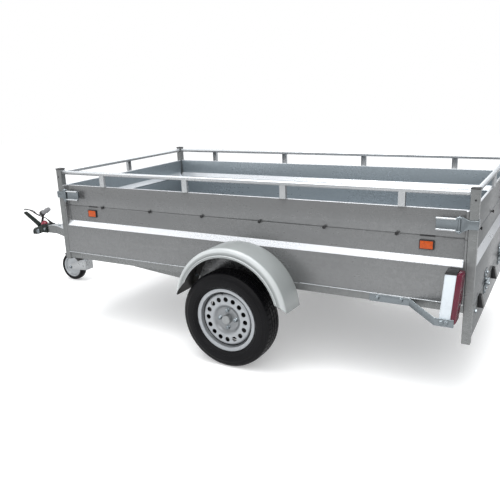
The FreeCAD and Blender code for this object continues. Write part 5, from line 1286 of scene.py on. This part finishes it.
# Hubs with their bolts, and tyre valves

HUB_COLUMNS = 64
HUB_PROFILE = (
    (0, -0.045), (0.038, -0.045), (0.038, 0.0155), (0.060, 0.0155), (0.062, 0.0175),
    (0.062, 0.025), (0.0262, 0.025), (0.0262, 0.052), (0.0250, 0.0552), (0.0225, 0.0572),
    (0.0180, 0.0585), (0.0100, 0.0585), (0.0080, 0.0575), (0, 0.0572),
)
# Painted shade: a dark disc behind each wheel, so that its holes show dark.
SHADE_PIECE_COLUMNS = 64
SHADOW_DISC_PROFILE = (
    (0.034, -0.040), (0.118, -0.040), (0.124, -0.037), (0.144, -0.036), (0.1455, -0.0345),
    (0.1455, -0.0305), (0.144, -0.029), (0.126, -0.028), (0.126, 0.004), (0.120, 0.010),
    (0.080, 0.012), (0.062, 0.0145), (0.034, 0.0145), (0.034, -0.040),
)
BOLT_RING_R = 0.05
BOLT_COUNT = 4
BOLT_SEAT = 0.03
BOLT_CONE = ((0, 0), (0.0122, 0), (0.0122, 0.001), (0.0104, 0.0035), (0, 0.0035))
BOLT_HEAD = ((0, 0.003), (0.0104, 0.003), (0.0104, 0.0128), (0.0088, 0.0142), (0, 0.0142))
# Painted shade: a thin dark ring in the gap between the disc's edge and the rim's well.
GAP_SHADE_RING = ((0.1498, 0.0350), (0.1540, 0.0350), (0.1540, 0.0372), (0.1498, 0.0380), (0.1498, 0.0350))
VALVE_ANGLE = math.radians(80)
VALVE_RING_R = 0.1495
VALVE_SEAT = 0.02
VALVE_LEAN = 0.12
VALVE_PROFILE = (
    (0, 0), (0.0084, 0), (0.0084, 0.002), (0.0066, 0.005), (0.0062, 0.020), (0.0050, 0.0215),
    (0.0050, 0.023), (0.0060, 0.024), (0.0060, 0.034), (0.0048, 0.036), (0, 0.0363),
)


def tyre_valve(centre, out):
    """Valve that leans a little away from the axle."""
    outward = wheel_way(VALVE_ANGLE)
    seat = centre + outward * VALVE_RING_R + out * VALVE_SEAT
    return turned(VALVE_PROFILE, seat, (out + outward * VALVE_LEAN).normalized(), SMALL_COLUMNS)


def hubs():
    """Hub, dark disc behind the wheel and dark ring in the gap at the disc's edge, both painted shade, and
    wheel bolts and tyre valve of each wheel.
    """
    bolt = joined([small_turned(BOLT_CONE), small_turned(BOLT_HEAD, HEX_SIDES)], "wheel_bolt")
    ways = [wheel_way(FULL_TURN * i / BOLT_COUNT) for i in range(BOLT_COUNT)]
    for side, sign in SIDES.items():
        body = "wheel_" + side
        out = LEFT * sign
        centre = wheel_centre(sign)
        dress("hub_" + side, turned(HUB_PROFILE, centre, out, HUB_COLUMNS), "capped_hub_" + side)
        # Painted shade: a dark disc behind the wheel, and a dark ring in the gap at the disc's edge.
        for name, profile in (("hub_drum_", SHADOW_DISC_PROFILE), ("disc_seal_", GAP_SHADE_RING)):
            add_piece(name + side, turned(profile, centre, out, SHADE_PIECE_COLUMNS), "black_plastic", body)
        places = [(centre + way * BOLT_RING_R + out * BOLT_SEAT, out) for way in ways]
        set_out("wheel_bolts_" + side, bolt, places, "zinc_hardware", body)
        add_piece("tyre_valve_" + side, tyre_valve(centre, out), "black_plastic", body)


# Side reflectors and tail lamps

REFLECTOR_RIM = 0.0042
REFLECTOR_EDGE = 0.0012
LENS_SINK = 0.002
LENS_CROWN = 0.0012
LENS_CROWN_POWER = 4
LENS_STEPS = 8


def crown_share(share):
    """One in the middle of a lens, and nought at either edge."""
    return 1 - (2 * share - 1) ** LENS_CROWN_POWER


def crowned_plate(low, high, side):
    """Plate whose outer face, towards one side, bulges a little."""
    work = bmesh.new()
    inner, outer = (low.y, high.y) if side > 0 else (high.y, low.y)
    shares = [i / LENS_STEPS for i in range(LENS_STEPS + 1)]
    rows = []
    for ahead in shares:
        line = []
        for up in shares:
            bulge = LENS_CROWN * crown_share(ahead) * crown_share(up)
            place = (low.x + (high.x - low.x) * ahead, outer + side * bulge, low.z + (high.z - low.z) * up)
            line.append(work.verts.new(place))
        rows.append(line)
    for near, far in zip(rows, rows[1:]):
        for i in range(LENS_STEPS):
            work.faces.new((near[i], far[i], far[i + 1], near[i + 1]))
    rim = [edge for edge in work.edges if edge.is_boundary]
    back = bmesh.ops.extrude_edge_only(work, edges=rim)["geom"]
    for vertex in [part for part in back if isinstance(part, bmesh.types.BMVert)]:
        vertex.co.y = inner
    bmesh.ops.holes_fill(work, edges=[edge for edge in work.edges if edge.is_boundary])
    return mesh_of(work, "lens")


def side_reflectors():
    """Amber lenses in black frames."""
    frames = rounded_edges(merged_copy("side_reflectors"), REFLECTOR_EDGE)
    add_piece("reflector_frames", frames, "black_plastic", node="side_reflectors")
    lenses = []
    for low, high in islands("side_reflectors"):
        side = 1 if low.y > 0 else -1
        face = high.y if side > 0 else low.y
        inner, outer = sorted((face, face - side * LENS_SINK))
        near = Vector((low.x + REFLECTOR_RIM, inner, low.z + REFLECTOR_RIM))
        far = Vector((high.x - REFLECTOR_RIM, outer, high.z - REFLECTOR_RIM))
        lenses.append(crowned_plate(near, far, side))
    add_piece("reflector_lenses", joined(lenses, "lenses"), "reflector_amber")


LAMP_LEAN = {"foot": 0.003, "top": 0.022}
LAMP_FIELDS = (0.36, 0.68)
FIELD_GAP = 0.0045
LENS_RIB_PITCH = 0.0052
LENS_RIB = {"half_height": 0.0016, "depth": 0.0011}
LENS_RIB_STEPS = 6
LENS_INSET = 0.0075
LAMP_SCREW = {"radius": 0.0035, "height": 0.002}
LAMP_EDGE = 0.002
LAMP_CAP = {"rise": 0.0035, "drop": 0.004, "lap": 0.001, "edge": 0.0028}


def leaning(mesh):
    """The mesh sheared to the rear with height, as the lamps stand on their bars."""
    low, high = corners("tail_lamps")
    for vertex in mesh.vertices:
        share = (vertex.co.z - low.z) / (high.z - low.z)
        vertex.co.x -= LAMP_LEAN["foot"] + (LAMP_LEAN["top"] - LAMP_LEAN["foot"]) * share
    return mesh


def lens_rib(length):
    """Half-round bar along Y, standing on zero."""
    angles = [math.pi * i / LENS_RIB_STEPS for i in range(LENS_RIB_STEPS + 1)]
    rings = []
    for end in (-length / 2, length / 2):
        rings.append([
            (LENS_RIB["half_height"] * math.cos(angle), end, LENS_RIB["depth"] * math.sin(angle))
            for angle in angles])
    return lofted(rings, "lens_rib")


def lamp_shells():
    """Housings and lenses of the tail lamps, leaning a little to the rear."""
    for node in ("tail_lamps", "tail_lamp_lenses"):
        dress(node, leaning(rounded_edges(merged_copy(node), LAMP_EDGE)), "leaning_" + node)


def lens_ribs_and_screws():
    """Moulded ribs across the red lenses, with gaps where their fields meet, and two screws in each."""
    ribs = []
    screws = []
    lenses = islands("tail_lamp_lenses")
    for low, high in lenses:
        across = (low.y + high.y) / 2
        tall = high.z - low.z
        count = int((tall - 2 * LENS_INSET) / LENS_RIB_PITCH)
        for up in row(low.z + LENS_INSET + LENS_RIB_PITCH / 2, LENS_RIB_PITCH, count):
            if min(abs(up - low.z - field * tall) for field in LAMP_FIELDS) > FIELD_GAP:
                ribs.append((Vector((low.x, across, up)), -FORWARD))
        screws += [(Vector((low.x, across, low.z + field * tall)), -FORWARD) for field in LAMP_FIELDS]
    low, high = lenses[-1]
    rib = lens_rib(high.y - low.y - 2 * LENS_INSET)
    leaning(set_out("lamp_lens_ribs", rib, ribs, "lamp_red", spin=0).data)
    leaning(set_out("lamp_lens_screws", round_head(**LAMP_SCREW), screws, "zinc_hardware").data)


def lamp_caps():
    """Dark caps on the tops of the tail lamps."""
    caps = []
    for low, high in islands("tail_lamps"):
        lap = Vector((LAMP_CAP["lap"], LAMP_CAP["lap"], 0))
        foot = Vector((low.x, low.y, high.z - LAMP_CAP["drop"])) - lap
        top = high + lap + UP * LAMP_CAP["rise"]
        caps.append(rounded_box(foot, top, LAMP_CAP["edge"]))
    add_piece("lamp_caps", leaning(joined(caps, "caps")), "black_plastic")


# Crank and axle of the jockey wheel

CRANK_EDGE = 0.0008
CRANK_HEAD_R = 0.021
CRANK_HEAD_TALL = 0.026
CRANK_ARM_THICK = 0.008
CRANK_ARM_WIDE = 0.02
CRANK_ARM_STEPS = 12
CRANK_NUT = {"across": 0.017, "height": 0.008}
KNOB_PROFILE = (
    (0, 0), (0.0075, 0), (0.0082, 0.0008), (0.0074, 0.0045), (0.0098, 0.0100), (0.0110, 0.0160),
    (0.0106, 0.0220), (0.0086, 0.0262), (0.0045, 0.0279), (0, 0.0280),
)
KNOB_INSET = 0.011
JOCKEY_AXLE_NUT = {"across": 0.019, "height": 0.009}
JOCKEY_AXLE_ACROSS = 0.041


def round_ended_bar(start, end, low, high):
    """Flat bar with round ends between two plan points."""
    along = (end - start).normalized()
    across = Vector((-along.y, along.x, 0))
    outline = []
    for centre, turn in ((end, -QUARTER_TURN), (start, QUARTER_TURN)):
        for i in range(CRANK_ARM_STEPS + 1):
            angle = turn + math.pi * i / CRANK_ARM_STEPS
            way = along * math.cos(angle) + across * math.sin(angle)
            outline.append(centre + way * CRANK_ARM_WIDE / 2)
    rings = [[(place.x, place.y, up) for place in outline] for up in (low, high)]
    return rounded_edges(lofted(rings, "bar"), CRANK_EDGE)


def jockey_crank():
    """Crank of the jockey wheel: head, arm, nut and turning knob."""
    low, high = corners("jockey_crank")
    foot = Vector((low.x + CRANK_HEAD_R, 0, low.z))
    seat = CRANK_HEAD_TALL - CRANK_ARM_THICK
    head = turned([
        (0, 0), (CRANK_HEAD_R, 0), (CRANK_HEAD_R, seat - CRANK_EDGE), (CRANK_HEAD_R - CRANK_EDGE, seat),
        (0, seat),
    ], foot)
    top = low.z + CRANK_HEAD_TALL
    tip = Vector((high.x - CRANK_ARM_WIDE / 2, 0, 0))
    arm = round_ended_bar(foot, tip, top - CRANK_ARM_THICK, top)
    body = BODY_OF["jockey_crank"]
    add_piece("crank_and_arm", joined([head, arm], "crank"), "zinc_hardware", body, "jockey_crank")
    nut_place = (foot + UP * CRANK_HEAD_TALL, UP)
    set_out("crank_nut", hex_bolt(**CRANK_NUT), [nut_place], "zinc_hardware", body)
    knob = turned(KNOB_PROFILE, Vector((high.x - KNOB_INSET, 0, top)), UP, SMALL_COLUMNS)
    add_piece("crank_knob", knob, "black_plastic", body)


def jockey_axle_nuts():
    """Nuts at both ends of the jockey wheel's axle."""
    hub = middle("jockey_tyre")
    places = []
    for side in SIDES.values():
        places.append((Vector((hub.x, side * JOCKEY_AXLE_ACROSS, hub.z)), LEFT * side))
    set_out("jockey_axle_nuts", hex_bolt(**JOCKEY_AXLE_NUT), places, "zinc_hardware", "jockey_swivel_fork")


# Coupling cap, plug and cable boot

CAP_R = 0.031
CAP_SINK = 0.003
CAP_RISE = 0.005
CAP_STEPS = 10


def coupling_cap():
    """Round red cap on the coupling head."""
    low, high = corners("coupling_dome")
    foot = Vector(((low.x + high.x) / 2, 0, low.z - CAP_SINK))
    cap = turned(dome(CAP_R, high.z + CAP_RISE - foot.z, CAP_STEPS), foot)
    dress("coupling_dome", cap, "coupling_cap")


PLUG_BODY = (
    (0, 0), (0.0070, 0), (0.0110, 0.005), (0.0175, 0.0075), (0.0188, 0.009), (0.0188, 0.036),
    (0.0184, 0.038, True), (0.0184, 0.070, True), (0.0190, 0.072), (0.0190, 0.075),
    (0.0215, 0.0765), (0.0215, 0.0855), (0.0195, 0.087), (0.0192, 0.088),
    (0.0180, 0.112), (0.0168, 0.1145), (0.0150, 0.115), (0, 0.115),
)
PLUG_COLUMNS = 72
GLAND_MOUTH = (2.24657, -0.022, 0.46894)
GLAND_LINE = Vector((0.85749, 0, 0.5143))
PLUG_MOUTH = (2.316, 0, 0.532)
PLUG_LINE = Vector((-0.89955, 0, 0.43678))
BOOT_RINGS = 6
BOOT_SUNK = 0.004
BOOT_LENGTH = 0.026
BOOT_RADII = (0.0074, 0.0052)
BOOT_RIDGE = {"share": 0.62, "rise": 0.0009, "slope": 0.0006}


def cable_plug():
    """Round plug with a fluted grip, laid on its axis."""
    dress("cable_plug", turned(PLUG_BODY, spot(*PLUG_MOUTH), PLUG_LINE, PLUG_COLUMNS), "fluted_plug")


def cable_boot():
    """Tapered, ringed strain relief where the cable leaves its gland."""
    thick, thin = BOOT_RADII
    rise = BOOT_RIDGE["rise"]
    slope = BOOT_RIDGE["slope"]
    profile = [(0, -BOOT_SUNK)]
    for i in range(BOOT_RINGS):
        radius = thick + (thin - thick) * i / (BOOT_RINGS - 1)
        start = BOOT_LENGTH * i / BOOT_RINGS
        stop = BOOT_LENGTH * (i + BOOT_RIDGE["share"]) / BOOT_RINGS
        profile += [(radius - rise, start), (radius, start + slope)]
        profile += [(radius, stop), (radius - rise, stop + slope)]
    profile.append((0, BOOT_LENGTH))
    boot = turned(profile, spot(*GLAND_MOUTH), GLAND_LINE, SMALL_COLUMNS)
    add_piece("cable_boot", boot, "black_plastic")


# Strips, sills, latch lips, post plugs and floor rivets

STRIPS = (1.071, -1.024)
STRIP = {"half_length": 0.036, "height": 0.006, "out": 0.0015, "in": 0.0015, "edge": 0.001}
POST_PLUG_UP = 0.987
POST_PLUG_INSET = 0.016
POST_PLUG = {"radius": 0.005, "height": 0.0018}
FLOOR_RIVET = {"radius": 0.006, "height": 0.002}
FLOOR_RIVET_PITCH = 0.21
FLOOR_RIVET_INSET = 0.022


def groove_strips():
    """Short black strips in the line above the reflectors."""
    face = corners("corner_posts")[1].y - PANEL_INSET
    strips = []
    for side in SIDES.values():
        inner, outer = sorted((side * (face - STRIP["in"]), side * (face + STRIP["out"])))
        for ahead in STRIPS:
            near = spot(ahead - STRIP["half_length"], inner, GROOVE_UP - STRIP["height"] / 2)
            far = spot(ahead + STRIP["half_length"], outer, GROOVE_UP + STRIP["height"] / 2)
            strips.append(rounded_box(near, far, STRIP["edge"]))
    add_piece("groove_strips", joined(strips, "strips"), "black_plastic")


SILL = {"up": 0.4885, "tall": 0.0045, "out": 0.0042, "in": 0.002, "edge": 0.0018, "clear": 0.003}


def sill_strips():
    """Folded foot of each side wall, from the posts to the mudguard."""
    face = corners("corner_posts")[1].y
    strips = []
    for side in SIDES.values():
        inner, outer = sorted((side * (face - SILL["in"]), side * (face + SILL["out"])))
        for end, sign in ENDS.items():
            arch = GUARD_MIDDLE[0] + sign * (GUARD_R + SILL["clear"])
            near, far = sorted((end_x(end, POST_SIZE), arch))
            low = spot(near, inner, SILL["up"])
            high = spot(far, outer, SILL["up"] + SILL["tall"])
            strips.append(rounded_box(low, high, SILL["edge"]))
    add_piece("sill_strips", joined(strips, "strips"), "galvanised_tube")


LIP = {
    "length": 0.092, "half_spread": 0.0308, "tall": 0.009, "inset": 0.0014, "depth": 0.0165, "edge": 0.004,
}


def latch_lips():
    """Rolled edges of the latch levers."""
    for end, gate in GATES.items():
        lips = []
        for low, high in islands(gate + "_latches"):
            middle_up = (low.z + high.z) / 2
            tip = high.x if end == "rear" else low.x
            near, far = sorted((tip, tip + ENDS[end] * LIP["length"]))
            side = 1 if low.y > 0 else -1
            face = (high.y if side > 0 else -low.y) - LIP["inset"]
            inner, outer = sorted((side * face, side * (face - LIP["depth"])))
            for sign in (1, -1):
                edge = middle_up + sign * LIP["half_spread"]
                foot, top = sorted((edge, edge - sign * LIP["tall"]))
                lips.append(rounded_box(Vector((near, inner, foot)), Vector((far, outer, top)), LIP["edge"]))
        add_piece(gate + "_latch_lips", joined(lips, "lips"), "galvanised_tube", gate)


def post_plugs():
    """Small black plugs in the holes of the posts."""
    face = corners("corner_posts")[1].y
    places = []
    for end in ENDS:
        for side in SIDES.values():
            places.append((spot(end_x(end, POST_PLUG_INSET), side * face, POST_PLUG_UP), LEFT * side))
    set_out("post_plugs", round_head(**POST_PLUG), places, "black_plastic")


def floor_rivets():
    """Rivet heads along the edges of the floor sheet."""
    low, high = corners("load_floor")
    start = low.x + FLOOR_RIVET_INSET
    run = high.x - low.x - 2 * FLOOR_RIVET_INSET
    count = round(run / FLOOR_RIVET_PITCH)
    places = []
    for ahead in row(start, run / count, count + 1):
        for across in (low.y + FLOOR_RIVET_INSET, high.y - FLOOR_RIVET_INSET):
            places.append((Vector((ahead, across, high.z)), UP))
    set_out("floor_rivets", round_head(**FLOOR_RIVET), places, "zinc_hardware")


# Trailer cable

CABLE_DIAMETER = 0.008
CABLE_RUN_IN = 0.032
CABLE_RUN_OUT = 0.024
CABLE_SHEATH = {
    "dimensions": "3D", "bevel_depth": CABLE_DIAMETER / 2, "bevel_resolution": 4, "resolution_u": 10,
    "use_fill_caps": True,
}
CABLE_SPLINE = {"order_u": 3, "use_endpoint_u": True}
CABLE_ROUTE = (
    (2.308, -0.034, 0.494), (2.35, -0.037, 0.5), (2.397, -0.033, 0.511),
    (2.448, -0.033, 0.533), (2.4892, -0.03, 0.551), (2.505, -0.0142, 0.559), (2.505, 0.0082, 0.563),
    (2.4892, 0.024, 0.565), (2.453, 0.0255, 0.567), (2.42, 0.02, 0.565), (2.388, 0.011, 0.557),
    (2.3628, 0.0032, 0.5269),
)


def trailer_cable():
    """The lamp cable: from its gland, round the handle's tip and into the plug."""
    start = spot(*GLAND_MOUTH)
    end = spot(*PLUG_MOUTH)
    points = [start, start + GLAND_LINE * CABLE_RUN_IN]
    points += [spot(*point) for point in CABLE_ROUTE]
    points += [end - PLUG_LINE * CABLE_RUN_OUT, end]
    curve = adjusted(bpy.data.curves.new("trailer_cable_sheath", "CURVE"), CABLE_SHEATH)
    spline = curve.splines.new("NURBS")
    spline.points.add(len(points) - 1)
    for control, point in zip(spline.points, points):
        control.co = (*point, 1.0)
    adjusted(spline, CABLE_SPLINE)
    curve.materials.append(MATERIALS["cable_black"])
    cable = placed("trailer_cable_sheath", curve)
    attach(cable, "root")
    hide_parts("trailer_cable")


# Light and floor

FLOOR_REACH = 14.0
FLOOR_COLOUR = (0.8, 0.8, 0.8, 1.0)
FLOOR_FINISH = {"rough": 0.9, "shine": 0.1, "glow": 0.3}
WHITE = (1.0, 1.0, 1.0, 1.0)
SKY_COLOUR = (0.97, 0.985, 1.0, 1.0)
SKY_HEIGHTS = (-0.1, 0.9)
SKY_STRENGTHS = (0.42, 1.1)
SEEN_RAYS = ("Is Camera Ray", "Is Glossy Ray", "Is Transmission Ray")
LAMPS = (
    ("key", (-3.2, 4.6, 4.4), 4.0, 110.0),
    ("fill", (4.6, 3.4, 3.0), 4.0, 50.0),
    ("overhead", (-0.4, 0.6, 5.2), 4.5, 260.0),
    ("back", (0.5, -5.0, 4.0), 4.5, 60.0),
)
LAMP_AIM = Vector((0, 0, 0.5))


def seen_directly(tree):
    """One for the camera's own rays and for those that metal and glass send on."""
    path = tree.add("ShaderNodeLightPath")
    return tree.chain("MAXIMUM", *[path.outputs[kind] for kind in SEEN_RAYS])


def light_world():
    """Soft light that is brightest overhead, before a plain white background."""
    world = bpy.data.worlds.new("studio")
    bpy.context.scene.world = world
    world.use_nodes = True
    t = Tree(world.node_tree)
    where = t.output("Generated", "ShaderNodeTexCoord")
    height = t.output("Z", "ShaderNodeSeparateXYZ", {"Vector": where})
    strength = t.spread(height, *SKY_STRENGTHS, *SKY_HEIGHTS)
    sky = t.output("Background", "ShaderNodeBackground", {"Color": SKY_COLOUR, "Strength": strength})
    white = t.output("Background", "ShaderNodeBackground", {"Color": WHITE})
    mix = t.output("Shader", "ShaderNodeMixShader", (seen_directly(t), sky, white))
    t.feed(t.tree.nodes["World Output"].inputs["Surface"], mix)


def floor_material():
    """Pale matt floor with a little glow that only the eye and reflections see."""
    f = Finish("pale floor")
    f.set(Base_Color=FLOOR_COLOUR, Roughness=FLOOR_FINISH["rough"], Specular_IOR_Level=FLOOR_FINISH["shine"])
    strength = f.reckon("MULTIPLY", seen_directly(f), FLOOR_FINISH["glow"])
    glow = f.output("Emission", "ShaderNodeEmission", {"Strength": strength})
    both = f.output("Shader", "ShaderNodeAddShader", (f.shader.outputs["BSDF"], glow))
    f.feed(f.tree.nodes["Material Output"].inputs["Surface"], both)
    return f.material


def lay_floor():
    """Plain pale floor, level with the foot of the tyres."""
    mesh = bpy.data.meshes.new("floor")
    reach = FLOOR_REACH
    square = [(-reach, -reach, 0), (reach, -reach, 0), (reach, reach, 0), (-reach, reach, 0)]
    mesh.from_pydata(square, [], [range(len(square))])
    mesh.materials.append(floor_material())
    floor = placed("floor", mesh)


def hang_lamps():
    """Large soft lamps that all face the trailer."""
    for name, place, size, power in LAMPS:
        lamp = placed(name, adjusted(bpy.data.lights.new(name, "AREA"), {"size": size, "energy": power}))
        lamp.location = place
        lamp.rotation_euler = (LAMP_AIM - Vector(place)).to_track_quat("-Z", "Y").to_euler()


def coat_nodes():
    """Every node gets its slot's finish, in place of the plain one."""
    for node, shape in frame["nodes"].items():
        coated(shape.data, SLOT_OF[node])


bpy.context.scene.view_settings.view_transform = "Standard"
place_camera()
trailer_cable()
light_world()
lay_floor()
hang_lamps()
coat_nodes()
soften_edges()
gate_bolts()
frame_bolts()
mudguard_bolts()
tarp_buttons()
side_walls()
mudguards()
tyres()
jockey_wheel()
jockey_hood()
wheels()
hubs()
side_reflectors()
lamp_shells()
lens_ribs_and_screws()
lamp_caps()
jockey_crank()
jockey_axle_nuts()
coupling_cap()
cable_plug()
cable_boot()
groove_strips()
sill_strips()
latch_lips()
post_plugs()
floor_rivets()
